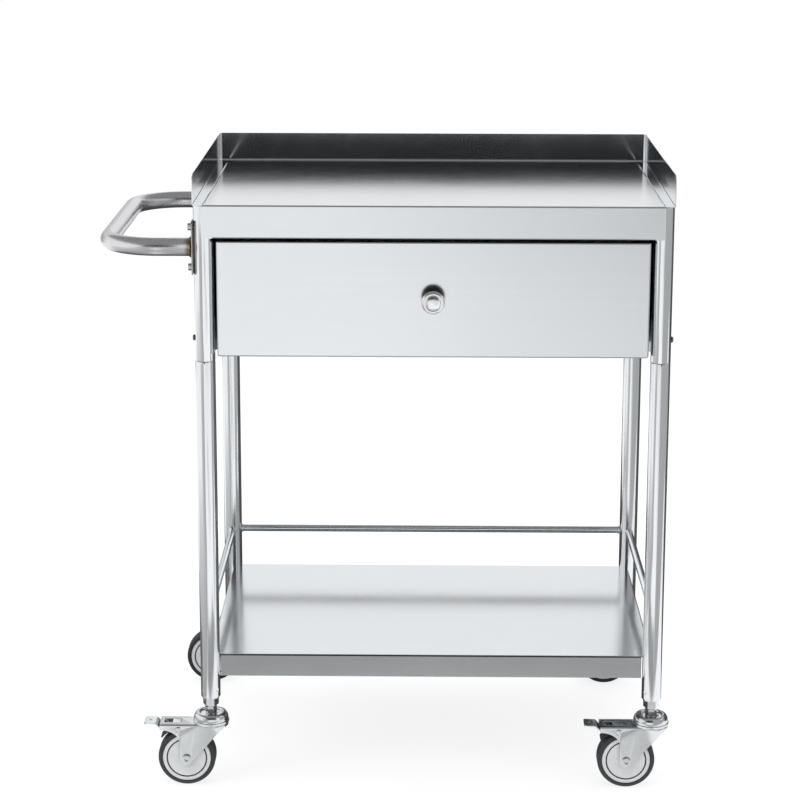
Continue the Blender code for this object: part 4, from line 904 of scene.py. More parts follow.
def add_legs():
    """Posts, lower legs and their screws."""
    post = post_mesh()
    lower = lower_leg_mesh()
    right = screw_mesh()
    left = move_mesh(right.copy(), Matrix.Rotation(math.pi, 4, "Z"))
    for corner, (side, end) in CORNERS.items():
        foot = (side * LEG_X, end * LEG_Y, 0.0)
        screw = right if side > 0 else left
        add_at_corner(corner, "post", post, TUBE_STEEL, "frame", "upper_leg", foot)
        add_at_corner(corner, "leg", lower, TUBE_STEEL, "frame", "lower_leg", foot)
        add_at_corner(corner, "leg_screw", screw, SCREW_STEEL, "frame", "leg_sleeve", foot)


# Rails

def add_rails():
    """Three rails coped to the legs, with a small weld bead at each end."""
    radius = RAIL_DIAMETER / 2
    bead = arc_points((0.0, 0.0), RAIL_BEAD_RADIUS, 0, 180, 6)
    cope = rod("cope", LEG_RADIUS + SEAM / 2, -LEG_DIAMETER, LEG_DIAMETER, TUBE_SIDES)
    for name, along, ends, middle, material in (
        ("rail_rear", along_x, (LEG_X, 0.0), (0.0, LEG_Y), RAIL_X_STEEL),
        ("rail_left", along_minus_y, (0.0, LEG_Y), (-LEG_X, 0.0), RAIL_Y_STEEL),
        ("rail_right", along_minus_y, (0.0, LEG_Y), (LEG_X, 0.0), RAIL_Y_STEEL),
    ):
        reach = max(ends)
        outline = [(0.0, -reach), (radius, -reach)]
        for end in (-1, 1):
            centre = end * (reach - LEG_RADIUS - SEAM * 2 - RAIL_BEAD_RADIUS * RAIL_BEAD_SINK)
            outline += [(radius + rise * RAIL_BEAD_RISE, centre - across) for across, rise in bead]
        outline += [(radius, reach), (0.0, reach)]
        rail = along(turned(name, outline, ROD_SIDES, closed=False))
        rail = cut(rail, [shifted(cope, end * ends[0], end * ends[1]) for end in (-1, 1)])
        place = (*middle, RAIL_HEIGHT)
        add_piece(name + "_tube", rail, material, "frame", [name], place)


# Knob

def add_knob():
    """The turned knob: a neck painted dark as shade, that flares out to a bright rim and dome."""
    flare = (KNOB_RADIUS - KNOB_NECK_RADIUS, KNOB_RIM_START - KNOB_NECK_END)
    dome = (KNOB_DOME_RADIUS, KNOB_DOME_HEIGHT)
    neck = [(0.0, KNOB_BORE_DEPTH), (KNOB_BORE_RADIUS, KNOB_BORE_DEPTH), (KNOB_BORE_RADIUS, 0.0)]
    foot = [(KNOB_BORE_RADIUS, 0.0), (KNOB_BASE_RADIUS, 0.0), (KNOB_BASE_RADIUS, KNOB_BASE_HEIGHT)]
    foot += [(KNOB_NECK_RADIUS, KNOB_NECK_START), (KNOB_NECK_RADIUS, KNOB_NECK_END)]
    neck += rounded(foot, KNOB_FOOT_ROUND)[1:]
    neck += oval_points((KNOB_RADIUS, KNOB_NECK_END), flare, 180, 90, ARC_STEPS)[1:]
    neck.append((0.0, KNOB_RIM_START))
    head = [(0.0, KNOB_RIM_START), (KNOB_RADIUS, KNOB_RIM_START)]
    centre = (KNOB_RADIUS - KNOB_RIM_ROUND, KNOB_RIM_END - KNOB_RIM_ROUND)
    head += arc_points(centre, KNOB_RIM_ROUND, 0, 120, 6)
    head += oval_points((0.0, KNOB_REACH - KNOB_DOME_HEIGHT), dome, 0, 90, ARC_STEPS)[:-1]
    head.append((0.0, KNOB_REACH))
    place = (0.0, FRONT_FACE_Y - SEAM, KNOB_Z)
    for name, outline, material in (("knob_neck", neck, KNOB_NECK_SHADE), ("knob_head", head, CHROME)):
        mesh = along_minus_y(turned(name, outline, HEAD_SIDES, closed=False, sharp_deg=45.0))
        add_piece(name, mesh, material, "drawer", ["drawer_knob"], place)


# Handle

def handle_path():
    """Return the handle's centre line in plan, from the front plate round to the rear one."""
    bar_x = -(CART_WIDTH / 2 + HANDLE_REACH - HANDLE_DIAMETER / 2)
    bend_x = bar_x + HANDLE_BEND_RADIUS
    bend_y = LEG_Y - HANDLE_BEND_RADIUS
    arm = [HANDLE_X - WELD_LEG * share for share in WELD_RINGS]
    path = [(x, -LEG_Y) for x in arm]
    path += arc_points((bend_x, -bend_y), HANDLE_BEND_RADIUS, 270, 180, BEND_STEPS)
    path += arc_points((bend_x, bend_y), HANDLE_BEND_RADIUS, 180, 90, BEND_STEPS)
    path += [(x, LEG_Y) for x in reversed(arm)]
    return [Vector((x, y, 0.0)) for x, y in path]


def bead_radius(distance, angle):
    """Return how far a weld bead stands out at a distance from the plate, with its ripples."""
    share = min(max(distance / (WELD_LEG * WELD_SPREAD), 0.0), 1.0)
    ripple = WELD_RIPPLE * math.sin(angle * WELD_RIPPLES)
    swell = WELD_SWELL * math.sin(angle * WELD_SWELLS + 1.0)
    fall = math.sqrt(max(1.0 - share * share, 0.0))
    return WELD_LEG * (1.0 + ripple + swell) * fall * WELD_RISE


def handle_mesh():
    """Return the bent tube with a rippled weld bead at each plate."""
    path = handle_path()
    shape = bmesh.new()
    up = Vector((0.0, 0.0, 1.0))
    outer_rings = []
    inner_rings = []
    radius = HANDLE_DIAMETER / 2
    for index, point in enumerate(path):
        before = path[max(index - 1, 0)]
        after = path[min(index + 1, len(path) - 1)]
        side = (after - before).normalized().cross(up)
        outer = []
        inner = []
        for step in range(HANDLE_SIDES):
            angle = 2 * math.pi * step / HANDLE_SIDES
            offset = side * math.cos(angle) + up * math.sin(angle)
            bead = bead_radius(HANDLE_X - point.x, angle)
            outer.append(shape.verts.new(point + offset * (radius + bead)))
            inner.append(shape.verts.new(point + offset * (radius - HANDLE_WALL)))
        outer_rings.append(outer)
        inner_rings.append(inner)
    rings = outer_rings + inner_rings[::-1]
    for first, second in zip(rings, rings[1:] + rings[:1]):
        for step in range(HANDLE_SIDES):
            following = (step + 1) % HANDLE_SIDES
            shape.faces.new((first[step], first[following], second[following], second[step]))
    bmesh.ops.recalc_face_normals(shape, faces=shape.faces)
    return to_mesh("handle", shape, 50.0)


def plate_mesh():
    """Return an end plate with rounded corners, and its two hex bolts on washers."""
    half_y = PLATE_WIDTH / 2 - PLATE_CORNER
    half_z = PLATE_HEIGHT / 2 - PLATE_CORNER
    outline = []
    for quarter, (side_z, side_y) in enumerate(((1, 1), (-1, 1), (-1, -1), (1, -1))):
        centre = (side_z * half_z, side_y * half_y)
        outline += arc_points(centre, PLATE_CORNER, quarter * 90, quarter * 90 + 90, 6)
    plate = edged(along_x(prism("plate", outline, -PLATE_THICKNESS, 0.0)), PLATE_EDGE_ROUND, 2)
    washer_top = -PLATE_THICKNESS - WASHER_THICKNESS
    radius = BOLT_DIAMETER / 2
    skin = [
        (0.0, BOLT_LENGTH - PLATE_THICKNESS),
        (radius, BOLT_LENGTH - PLATE_THICKNESS),
        (radius, -PLATE_THICKNESS / 2),
        (WASHER_RADIUS, -PLATE_THICKNESS / 2),
        (WASHER_RADIUS, washer_top),
        (0.0, washer_top),
    ]
    shank = turned("bolt", skin, ROD_SIDES, closed=False)
    low = washer_top - BOLT_HEAD_HEIGHT
    high = washer_top + WASHER_THICKNESS / 2
    head = hex_head("head", BOLT_HEAD_ACROSS_FLATS, low, high, False, True)
    bolt = along_x(joined(shank, [head]))
    return joined(plate, [shifted(bolt, z=offset) for offset in (-BOLT_OFFSET, BOLT_OFFSET)])


def add_handle():
    """The push handle and its end plates."""
    place = (0.0, 0.0, HANDLE_HEIGHT)
    add_piece("handle", handle_mesh(), HANDLE_STEEL, "frame", ["handle_bar"], place)
    plate = plate_mesh()
    for name, end in (("front", -1), ("rear", 1)):
        place = (PLATE_X, end * LEG_Y, HANDLE_HEIGHT)
        add_at_corner(name, "end_plate", plate, PLATE_STEEL, "frame", "handle_plate", place)


# Caster stems

def stem_mesh():
    """Return a caster's stem with its hexagon, domed race cap and rivet head."""
    thread_top = BUSH_BOTTOM + STEM_THREAD_LENGTH
    shoulder = STEM_HEX_BOTTOM + STEM_HEX_HEIGHT / 2
    well_z = CAP_TOP - CAP_WELL_DEPTH
    rim_z = CAP_BOTTOM + CAP_RIM_HEIGHT
    rivet_top = FORK_TOP - FORK_STEEL - SEAM
    outline = [
        (0.0, thread_top),
        (STEM_THREAD_RADIUS, thread_top),
        (STEM_THREAD_RADIUS, shoulder),
        (STEM_NECK_RADIUS, shoulder),
    ]
    ring = [
        (STEM_NECK_RADIUS, shoulder),
        (STEM_NECK_RADIUS, well_z),
        (CAP_RING_RADIUS - CAP_RING_WIDTH - CAP_STEEL / 2, well_z),
        (CAP_RING_RADIUS - CAP_RING_WIDTH, CAP_TOP),
        (CAP_RING_RADIUS, CAP_TOP),
    ]
    outline += rounded(ring, CAP_WELL_ROUND)[1:]
    shoulder_reach = (CAP_RADIUS - CAP_STEEL / 2 - CAP_RING_RADIUS, CAP_TOP - rim_z)
    outline += oval_points((CAP_RING_RADIUS, rim_z), shoulder_reach, 90, 0, ARC_STEPS)[1:]
    skirt = [
        (CAP_RADIUS - CAP_STEEL / 2, rim_z),
        (CAP_RADIUS, rim_z - CAP_STEEL / 3),
        (CAP_RADIUS, CAP_BOTTOM),
        (CAP_RADIUS - CAP_STEEL, CAP_BOTTOM),
        (CAP_RADIUS - CAP_STEEL, rim_z - CAP_STEEL / 2),
    ]
    outline += rounded(skirt, CAP_RIM_ROUND)[1:]
    outline += [
        (CAP_RING_RADIUS, well_z - CAP_STEEL * 1.5),
        (STEM_NECK_RADIUS, well_z - CAP_STEEL),
        (STEM_NECK_RADIUS, rivet_top),
        (RIVET_HEAD_RADIUS, rivet_top),
    ]
    rivet_reach = (RIVET_HEAD_RADIUS, -RIVET_HEAD_HEIGHT)
    outline += oval_points((0.0, rivet_top), rivet_reach, 0, 90, ARC_STEPS)[:-1]
    outline.append((0.0, rivet_top - RIVET_HEAD_HEIGHT))
    body = turned("caster_stem", outline, HEAD_SIDES, closed=False)
    top = STEM_HEX_BOTTOM + STEM_HEX_HEIGHT
    hex_bolt = hex_head("hex", STEM_HEX_ACROSS_FLATS, STEM_HEX_BOTTOM, top, True, True)
    return joined(body, [hex_bolt])


# Forks

def fork_front_edge_z(x):
    """Return the height of the cheek's slanted front edge at x."""
    slope = math.radians(FORK_FRONT_SLOPE_DEG)
    start_x = -CASTER_TRAIL + FORK_BOSS_RADIUS * math.sin(slope)
    start_z = WHEEL_RADIUS - FORK_BOSS_RADIUS * math.cos(slope)
    return start_z + (x - start_x) * math.tan(slope)


def cheek_outline(rear_x, rear_drop):
    """Return the flat cheek's lower outline as (x, z), from its rear top corner to the fold."""
    boss = FORK_BOSS_RADIUS
    edge_x = -CASTER_TRAIL - boss
    edge_z = WHEEL_RADIUS + FORK_REAR_EDGE_HEIGHT
    corner_z = FORK_TOP - rear_drop
    points = []
    if rear_x < edge_x:
        reach = (edge_x - rear_x, corner_z - edge_z)
        points += oval_points((rear_x, edge_z), reach, 90, 0, ARC_STEPS)
    else:
        points += [(rear_x, corner_z), (edge_x, edge_z)]
    end_deg = 270 + FORK_FRONT_SLOPE_DEG
    points += arc_points((-CASTER_TRAIL, WHEEL_RADIUS), boss, 180, end_deg, ARC_STEPS * 2)
    fold_x = FORK_FOLD_FROM_AXLE - CASTER_TRAIL
    points.append((fold_x, fork_front_edge_z(fold_x)))
    return points


def fork_skin(rear_x, rear_drop):
    """Return the outer skin of a fork: its crown, two cheeks bent at a fold and a nose lip."""
    fold_x = FORK_FOLD_FROM_AXLE - CASTER_TRAIL
    nose = arc_points((0.0, 0.0), CROWN_RADIUS, -CROWN_FLARE_DEG, CROWN_FLARE_DEG, 2 * ARC_STEPS)
    flare_x = nose[0][0]
    flare_z = fork_front_edge_z(flare_x)
    shape = bmesh.new()
    rear = {}
    fold = {}
    for side in (-1, 1):
        rear[side] = shape.verts.new((rear_x, side * FORK_HALF, FORK_TOP))
        fold[side] = shape.verts.new((fold_x, side * FORK_HALF, FORK_TOP))
    arc = [shape.verts.new((x, y, FORK_TOP)) for x, y in nose]
    shape.faces.new([rear[-1], fold[-1]] + arc + [fold[1], rear[1]])
    lip = []
    for x, y in nose:
        share = (x - flare_x) / (CROWN_RADIUS - flare_x)
        low_z = flare_z + (FORK_TOP - FORK_LIP_HEIGHT - flare_z) * math.sin(share * math.pi / 2)
        lip.append(shape.verts.new((x, y, low_z)))
    for index in range(len(arc) - 1):
        shape.faces.new((arc[index], arc[index + 1], lip[index + 1], lip[index]))
    for side, arc_end, lip_end in ((-1, arc[0], lip[0]), (1, arc[-1], lip[-1])):
        outline = cheek_outline(rear_x, rear_drop)
        low = [shape.verts.new((x, side * FORK_HALF, z)) for x, z in outline]
        shape.faces.new([fold[side], rear[side]] + low)
        shape.faces.new([fold[side], low[-1], lip_end, arc_end])
    return shape


def fork_mesh(name, braked):
    """Return a caster fork, drilled for its stem and axle, and slotted and pinned if braked."""
    rear_x = -BRAKED_FORK_LENGTH if braked else -PLAIN_FORK_LENGTH
    rear_drop = BRAKED_CHEEK_HEIGHT if braked else FORK_STEEL * 2
    mesh = folded_sheet(name, fork_skin(rear_x, rear_drop), FORK_STEEL, FORK_BEND_RADIUS)
    stem_hole = STEM_NECK_RADIUS + RUNNING_CLEARANCE
    axle_hole = along_minus_y(rod("hole", AXLE_RADIUS + SEAM, -FORK_GAP, FORK_GAP, ROD_SIDES))
    tools = [
        rod("hole", stem_hole, WHEEL_DIAMETER, LEG_BOTTOM, SMALL_SIDES),
        shifted(axle_hole, -CASTER_TRAIL, 0.0, WHEEL_RADIUS),
    ]
    if braked:
        pin_hole = rod("hole", LEVER_PIN_RADIUS + SEAM, -FORK_GAP, FORK_GAP, SMALL_SIDES)
        tools.append(shifted(along_minus_y(pin_hole), -LEVER_PIN_FROM_STEM, 0.0, LEVER_PIN_Z))
        centre_x = -BRAKE_SLOT_FROM_STEM
        low = (centre_x - BRAKE_SLOT_LENGTH / 2, -BRAKE_SLOT_WIDTH / 2, FORK_TOP - 2 * FORK_STEEL)
        high = (centre_x + BRAKE_SLOT_LENGTH / 2, BRAKE_SLOT_WIDTH / 2, FORK_TOP + FORK_STEEL)
        tools.append(box("slot", low, high))
    return edged(cut(mesh, tools), FORK_EDGE_ROUND, 2, 45.0)


# Wheels

def tyre_mesh():
    """Return the tyre, a band round the core with rounded shoulders, about Y."""
    half = WHEEL_WIDTH / 2
    inner = CORE_RADIUS + SEAM
    shoulder = TYRE_SHOULDER
    outline = [(inner, -half), (WHEEL_RADIUS - shoulder, -half)]
    outline += arc_points((WHEEL_RADIUS - shoulder, -half + shoulder), shoulder, 270, 360, 8)[1:]
    outline += arc_points((WHEEL_RADIUS - shoulder, half - shoulder), shoulder, 0, 90, 8)
    outline.append((inner, half))
    return along_minus_y(turned("tyre", outline, WHEEL_SIDES))


def core_mesh():
    """Return the wheel core, a disc with a round groove in each face, about Y."""
    half = WHEEL_WIDTH / 2 - DISC_RECESS
    bore = AXLE_RADIUS + RUNNING_CLEARANCE
    groove = GROOVE_DIAMETER / 2
    side = [
        (bore, half),
        (groove - GROOVE_WIDTH / 2, half),
        (groove - GROOVE_WIDTH / 3, half - GROOVE_DEPTH),
        (groove + GROOVE_WIDTH / 3, half - GROOVE_DEPTH),
        (groove + GROOVE_WIDTH / 2, half),
        (CORE_RADIUS - DISC_RECESS, half),
        (CORE_RADIUS, half - DISC_RECESS),
    ]
    return along_minus_y(turned("core", doubled(side), WHEEL_SIDES))


def axle_mesh():
    """Return the axle, a rivet with a rolled head on each cheek and a hollow in each end."""
    seat = FORK_HALF + SEAM
    face = seat + AXLE_HEAD_HEIGHT
    skin = [
        (AXLE_HOLLOW_RADIUS * AXLE_HOLLOW_TAPER, face - AXLE_HOLLOW_DEPTH),
        (AXLE_HOLLOW_RADIUS, face),
        (AXLE_HEAD_RADIUS, face),
        (AXLE_HEAD_RADIUS, seat),
        (AXLE_RADIUS, seat),
    ]
    half = [(0.0, face - AXLE_HOLLOW_DEPTH)] + rounded(skin, AXLE_HEAD_ROUND)
    return along_minus_y(turned("axle", doubled(half), ROD_SIDES, closed=False, sharp_deg=50.0))


# Brake

def strip_outline(path, thickness):
    """Return the outline of a bent strip that follows a path of (x, z) points."""
    left = []
    right = []
    for index, point in enumerate(path):
        before = Vector(path[max(index - 1, 0)])
        here = Vector(point)
        after = Vector(path[min(index + 1, len(path) - 1)])
        first = (here - before).normalized() if index else (after - here).normalized()
        second = (after - here).normalized() if index < len(path) - 1 else first
        along = (first + second).normalized()
        reach = thickness / 2 / along.dot(first)
        normal = Vector((-along.y, along.x)) * reach
        left.append(tuple(here + normal))
        right.append(tuple(here - normal))
    return left + right[::-1]


def tongue_mesh():
    """Return the lever's tongue, which stands up in the slot of the fork's top plate."""
    front_x = -BRAKE_SLOT_FROM_STEM + BRAKE_SLOT_LENGTH / 2 - TONGUE_SIDE_CLEARANCE
    half = BRAKE_SLOT_WIDTH / 2 - TONGUE_SIDE_CLEARANCE
    low = (front_x - TONGUE_LENGTH, -half, LEVER_PIN_Z)
    return box("tongue", low, (front_x, half, FORK_TOP - TONGUE_BELOW_TOP))


def bump_mesh():
    """Return the small round bump pressed up in the middle of the pedal."""
    bend_x = -BRAKED_FORK_LENGTH - LEVER_FLAT_OVERHANG - LEVER_STEP_LENGTH
    middle = (bend_x - LEVER_REACH) / 2
    base = LEVER_PIN_Z + LEVER_STEP_RISE
    top = base + LEVER_TIP_RISE / 2 + LEVER_STEEL / 2 + LEVER_BUMP_HEIGHT
    outline = [(0.0, base), (LEVER_BUMP_RADIUS, base)]
    rise = LEVER_BUMP_HEIGHT * LEVER_BUMP_SINK
    outline += oval_points((0.0, top - rise), (LEVER_BUMP_RADIUS, rise), 0, 90, 6)[:-1]
    outline.append((0.0, top))
    return shifted(turned("bump", outline, SMALL_SIDES, closed=False), middle)


def lever_mesh():
    """Return the brake lever: a bent strip with a barrel round its pin and a rounded pedal."""
    pin_x = -LEVER_PIN_FROM_STEM
    step_x = -BRAKED_FORK_LENGTH - LEVER_FLAT_OVERHANG
    pedal_z = LEVER_PIN_Z + LEVER_STEP_RISE
    path = [
        (pin_x, LEVER_PIN_Z),
        (step_x, LEVER_PIN_Z),
        (step_x - LEVER_STEP_LENGTH, pedal_z),
        (-LEVER_REACH, pedal_z + LEVER_TIP_RISE),
    ]
    path = rounded(path, LEVER_BEND, 5)
    half = LEVER_WIDTH / 2
    strip = side_prism("lever", strip_outline(path, LEVER_STEEL), -half, half)
    corner_x = -LEVER_REACH + LEVER_CORNER
    corner_y = half - LEVER_CORNER
    plan = arc_points((corner_x, corner_y), LEVER_CORNER, 90, 180, 8)
    plan += arc_points((corner_x, -corner_y), LEVER_CORNER, 180, 270, 8)
    plan += [(0.0, -half - SHEET), (0.0, half + SHEET)]
    plan = [(x - SEAM, y) for x, y in plan]
    blank = prism("blank", plan, 0.0, LEG_BOTTOM)
    strip = combined(strip, [blank], "INTERSECT")
    barrel = rod("barrel", LEVER_PIN_RADIUS + SEAM + LEVER_BARREL_WALL, -half, half, ROD_SIDES)
    hole = rod("hole", LEVER_PIN_RADIUS + SEAM, -LEVER_WIDTH, LEVER_WIDTH, SMALL_SIDES)
    place = {"x": pin_x, "z": LEVER_PIN_Z}
    lever = joined(strip, [shifted(along_minus_y(barrel), **place), tongue_mesh(), bump_mesh()])
    return edged(cut(lever, [shifted(along_minus_y(hole), **place)]), LEVER_EDGE_ROUND, 2, 45.0)


def shoe_mesh():
    """Return the brake shoe: a pad curved over the tyre, with its back against the lever."""
    axle = (-CASTER_TRAIL, WHEEL_RADIUS)
    face = WHEEL_RADIUS + SHOE_GAP
    outline = arc_points(axle, face, SHOE_START_DEG, SHOE_END_DEG, ARC_STEPS)
    back_z = LEVER_PIN_Z - LEVER_STEEL / 2 - SEAM
    outline += arc_points(axle, face + SHOE_THICKNESS, SHOE_END_DEG, SHOE_END_DEG - SHOE_BACK_DEG, 3)
    outline.append((outline[-1][0], back_z))
    outline.append((outline[0][0], back_z))
    shoe = side_prism("shoe", outline, -SHOE_WIDTH / 2, SHOE_WIDTH / 2)
    return edged(shoe, SHOE_EDGE_ROUND, 2)


def pin_mesh():
    """Return the brake lever's pin, headed on the outside of both cheeks."""
    seat = FORK_HALF + SEAM
    reach = (LEVER_PIN_HEAD_RADIUS, LEVER_PIN_HEAD_HEIGHT)
    half = [(0.0, seat + LEVER_PIN_HEAD_HEIGHT)]
    half += oval_points((0.0, seat), reach, 90, 0, 5)[1:]
    half.append((LEVER_PIN_RADIUS, seat))
    return along_minus_y(turned("pin", doubled(half), SMALL_SIDES, closed=False))


def add_casters():
    """Stems, forks, wheels and brakes at the four corners."""
    stem = stem_mesh()
    forks = {True: fork_mesh("fork_braked", True), False: fork_mesh("fork_plain", False)}
    tyre = tyre_mesh()
    core = core_mesh()
    axle = axle_mesh()
    lever = lever_mesh()
    shoe = shoe_mesh()
    pin = pin_mesh()
    for corner, (side, end) in CORNERS.items():
        braked = end < 0
        x = side * LEG_X
        y = end * LEG_Y
        foot = (x, y, 0.0)
        hub = (x - CASTER_TRAIL, y, WHEEL_RADIUS)
        fork = forks[braked]
        swivel = f"swivel_{corner}"
        wheel = f"wheel_{corner}"
        add_at_corner(corner, "stem", stem, ZINC_STEEL, "frame", "caster_stem", foot)
        add_at_corner(corner, "caster_fork", fork, ZINC_STEEL, swivel, "fork", foot)
        add_at_corner(corner, "wheel_axle", axle, ZINC_STEEL, swivel, "axle", hub)
        add_at_corner(corner, "wheel_tyre", tyre, TYRE_RUBBER, wheel, "tyre", hub)
        add_at_corner(corner, "wheel_disc", core, WHEEL_PLASTIC, wheel, "wheel_core", hub)
        if braked:
            pedal = f"pedal_{corner}"
            pivot = (x - LEVER_PIN_FROM_STEM, y, LEVER_PIN_Z)
            add_at_corner(corner, "lever_pin", pin, ZINC_STEEL, swivel, "brake_pin", pivot)
            add_at_corner(corner, "lever", lever, ZINC_STEEL, pedal, "brake_lever", foot)
            add_at_corner(corner, "shoe", shoe, SHOE_RUBBER, pedal, "brake_shoe", foot)


def paint_frame():
    """Give the sheet pieces of the frame their brushed steel, with the housing and drawer box darkened
    as painted shade.
    """
    for node in ("top_tray", "lower_shelf"):
        paint(node, TRAY_STEEL)
    paint("drawer_front", FRONT_STEEL)
    paint("drawer_box", BOX_STEEL)
    for node in ("housing_back", "housing_side_left", "housing_side_right"):
        paint(node, HOUSING_STEEL)
    paint("top_guard", GUARD_STEEL)
    for part in ("outer", "middle", "inner"):
        for side in ("left", "right"):
            paint(f"slide_{part}_{side}", SLIDE_STEEL)
    paint("knob_screw", ZINC_STEEL)


# Studio

FLOOR_HALF = 30.0
FLOOR_DROP = -0.0002
FLOOR_GREY = 0.90
FLOOR_WHITE = 0.72
FLOOR_GLOW = 1.12
ROOM_LEVEL = 0.85
CAMERA_PLACE = (-0.01257, -2.99643, 1.22599)
CAMERA_PITCH = 0.21855
CAMERA_ROLL = -0.00241
CAMERA_YAW = 0.01025
FOCAL_PIXELS = 2284.1
IMAGE_PIXELS = 800
SENSOR_WIDTH = 36.0
SHIFT_UP = 0.08
CLIP_START = 0.05
CLIP_END = 60.0
CARD_FLOOR = (0.002, 0.002)


def add_camera():
    """Set the camera at the photograph's viewpoint."""
    data = bpy.data.cameras.new("camera")
    data.sensor_width = SENSOR_WIDTH
    data.lens = FOCAL_PIXELS / IMAGE_PIXELS * SENSOR_WIDTH
    data.shift_y = -SHIFT_UP
    data.clip_start = CLIP_START
    data.clip_end = CLIP_END
    camera = add_object("camera", data)
    turn = Matrix.Rotation(CAMERA_YAW, 3, "Z")
    turn = turn @ Matrix.Rotation(-CAMERA_PITCH, 3, "X") @ Matrix.Rotation(CAMERA_ROLL, 3, "Y")
    right, forward, up = turn.col[0], turn.col[1], turn.col[2]
    axes = Matrix((right, up, -forward)).transposed().to_4x4()
    camera.matrix_world = Matrix.Translation(MIDDLE + Vector(CAMERA_PLACE)) @ axes
    bpy.context.scene.camera = camera


def stage_material(name):
    """Return an empty material with its tree and its output node."""
    material = bpy.data.materials.new(name)
    material.use_nodes = True
    tree = material.node_tree
    tree.nodes.clear()
    return material, tree, add_node(tree, "ShaderNodeOutputMaterial")


def seen_or_mirrored(tree):
    """Return 1 for what the camera sees, directly, in metal or through glass, and 0 elsewhere."""
    path = add_node(tree, "ShaderNodeLightPath")
    mirrored = maths(tree, "MAXIMUM", path.outputs["Is Camera Ray"], path.outputs["Is Glossy Ray"])
    return maths(tree, "MAXIMUM", mirrored, path.outputs["Is Transmission Ray"])


def add_floor():
    """A plain pale floor that keeps the cart's shadow."""
    shape = bmesh.new()
    bmesh.ops.create_grid(shape, x_segments=1, y_segments=1, size=FLOOR_HALF)
    floor = add_object("floor", to_mesh("floor", shape))
    floor.location = (0.0, 0.0, FLOOR_DROP)
    material, tree, output = stage_material("floor_white")
    grey = (FLOOR_GREY, FLOOR_GREY, FLOOR_GREY, 1.0)
    diffuse = add_node(tree, "ShaderNodeBsdfDiffuse", Color=grey)
    white = add_node(tree, "ShaderNodeEmission", Strength=FLOOR_GLOW)
    mix = add_node(tree, "ShaderNodeMixShader")
    tree.links.new(maths(tree, "MULTIPLY", seen_or_mirrored(tree), FLOOR_WHITE), mix.inputs[0])
    tree.links.new(diffuse.outputs[0], mix.inputs[1])
    tree.links.new(white.outputs[0], mix.inputs[2])
    tree.links.new(mix.outputs[0], output.inputs["Surface"])
    floor.data.materials.append(material)


def add_world():
    """White background, also in the metal, and a slightly lower level as light."""
    world = bpy.data.worlds.new("studio")
    bpy.context.scene.world = world
    world.use_nodes = True
    tree = world.node_tree
    tree.nodes.clear()
    output = add_node(tree, "ShaderNodeOutputWorld")
    room = add_node(tree, "ShaderNodeBackground", Color=(1.0, 1.0, 1.0, 1.0))
    level = ranged(tree, seen_or_mirrored(tree), 0.0, 1.0, ROOM_LEVEL, 1.0)
    tree.links.new(level, room.inputs["Strength"])
    tree.links.new(room.outputs[0], output.inputs["Surface"])


def add_card(name, x, y, z, shades):
    """Hang a glowing grey card that only the metal mirrors, a painted reflection standing where a
    studio flag would.

    The shade runs from the first one at the first corner to the second at the other end.
    """
    corners = [(x[0], y[0], z[0]), (x[1], y[1], z[0]), (x[1], y[1], z[1]), (x[0], y[0], z[1])]
    if z[0] == z[1]:
        corners = [(x[0], y[0], z[0]), (x[1], y[0], z[0]), (x[1], y[1], z[0]), (x[0], y[1], z[0])]
    shape = bmesh.new()
    shape.faces.new([shape.verts.new(corner) for corner in corners])
    card = add_object(name, to_mesh(name, shape))
    material, tree, output = stage_material(name)
    grey = add_node(tree, "ShaderNodeEmission")
    level = ranged(tree, object_axes(tree)["X"], *x, *shades)
    tree.links.new(level, grey.inputs["Strength"])
    tree.links.new(grey.outputs[0], output.inputs["Surface"])
    card.data.materials.append(material)
    card.visible_camera = False
    card.visible_diffuse = False
    card.visible_shadow = False


def add_lamp(name, place, target, size, power):
    """Add a square soft lamp that faces a point."""
    data = bpy.data.lights.new(name, "AREA")
    data.shape = "SQUARE"
    data.size = size
    data.energy = power
    lamp = add_object(name, data)
    lamp.location = place
    away = Vector(place) - Vector(target)
    lamp.rotation_mode = "QUATERNION"
    lamp.rotation_quaternion = away.to_track_quat("Z", "Y")
    lamp.visible_glossy = False


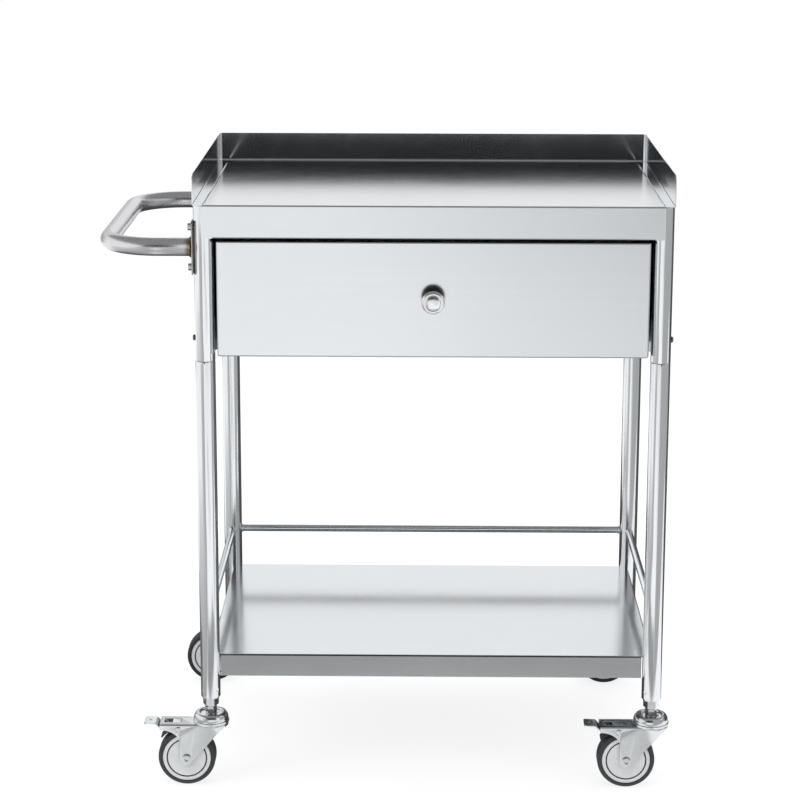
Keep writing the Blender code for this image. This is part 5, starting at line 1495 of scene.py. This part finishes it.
def add_studio():
    """Camera, floor, room, cards and lamps."""
    add_camera()
    add_floor()
    add_world()
    # The cards are painted reflections in the metal; card_under paints the shaded floor under the cart
    # into them
    add_card("card_behind_camera", x=(-2.4, 2.4), y=(-3.4, -3.4), z=(0.82, 2.6), shades=(0.02, 0.02))
    add_card("card_overhead", x=(-3.2, 3.2), y=(-3.4, 3.0), z=(2.6, 2.6), shades=(0.28, 0.28))
    add_card("card_front_left", x=(-1.85, -0.62), y=(-1.5, -1.5), z=(0.0, 0.62), shades=(0.62, 0.42))
    add_card("card_floor_left", x=(-3.0, -0.45), y=(-1.8, 0.4), z=CARD_FLOOR, shades=(1.0, 0.42))
    add_card("card_floor_right", x=(0.45, 3.2), y=(0.05, 3.0), z=CARD_FLOOR, shades=(0.09, 0.09))
    add_card("card_front_right", x=(0.40, 3.0), y=(-0.5, -0.5), z=(0.0, 0.80), shades=(0.45, 0.42))
    add_card("card_right", x=(2.8, 3.0), y=(-0.9, 0.5), z=(0.0, 1.5), shades=(0.46, 0.42))
    add_card("card_back_right", x=(0.62, 3.0), y=(2.4, 0.5), z=(0.0, 1.5), shades=(0.09, 0.09))
    add_card("card_back_left", x=(-3.2, -0.62), y=(2.4, 2.4), z=(0.0, 1.5), shades=(0.25, 0.70))
    add_card("card_low", x=(-0.42, 0.42), y=(-0.90, -0.50), z=CARD_FLOOR, shades=(0.35, 0.35))
    add_card("card_caster_left", x=(-0.35, -0.18), y=(-0.50, -0.22), z=CARD_FLOOR, shades=(1.0, 0.60))
    add_card("card_caster_right", x=(0.22, 0.39), y=(-0.50, -0.22), z=CARD_FLOOR, shades=(1.0, 0.60))
    add_card("card_far", x=(-0.20, 1.40), y=(-6.50, -4.10), z=CARD_FLOOR, shades=(1.0, 0.40))
    add_card("card_before", x=(0.10, 1.20), y=(-4.10, -1.90), z=CARD_FLOOR, shades=(1.0, 0.72))
    add_card("card_under", x=(-0.85, 0.45), y=(-0.12, 3.0), z=CARD_FLOOR, shades=(0.06, 0.06))
    add_lamp("key", place=(-2.6, -1.8, 2.3), target=(0.0, 0.0, 0.5), size=1.6, power=36.0)
    add_lamp("top", place=(0.3, 0.6, 3.0), target=(0.0, 0.0, 0.4), size=2.0, power=26.0)
    add_lamp("fill", place=(2.6, -1.8, 1.6), target=(0.0, 0.0, 0.4), size=1.4, power=10.0)
    bpy.context.scene.view_settings.view_transform = "Standard"


add_legs()
add_rails()
add_knob()
add_handle()
add_casters()
paint_frame()
add_studio()
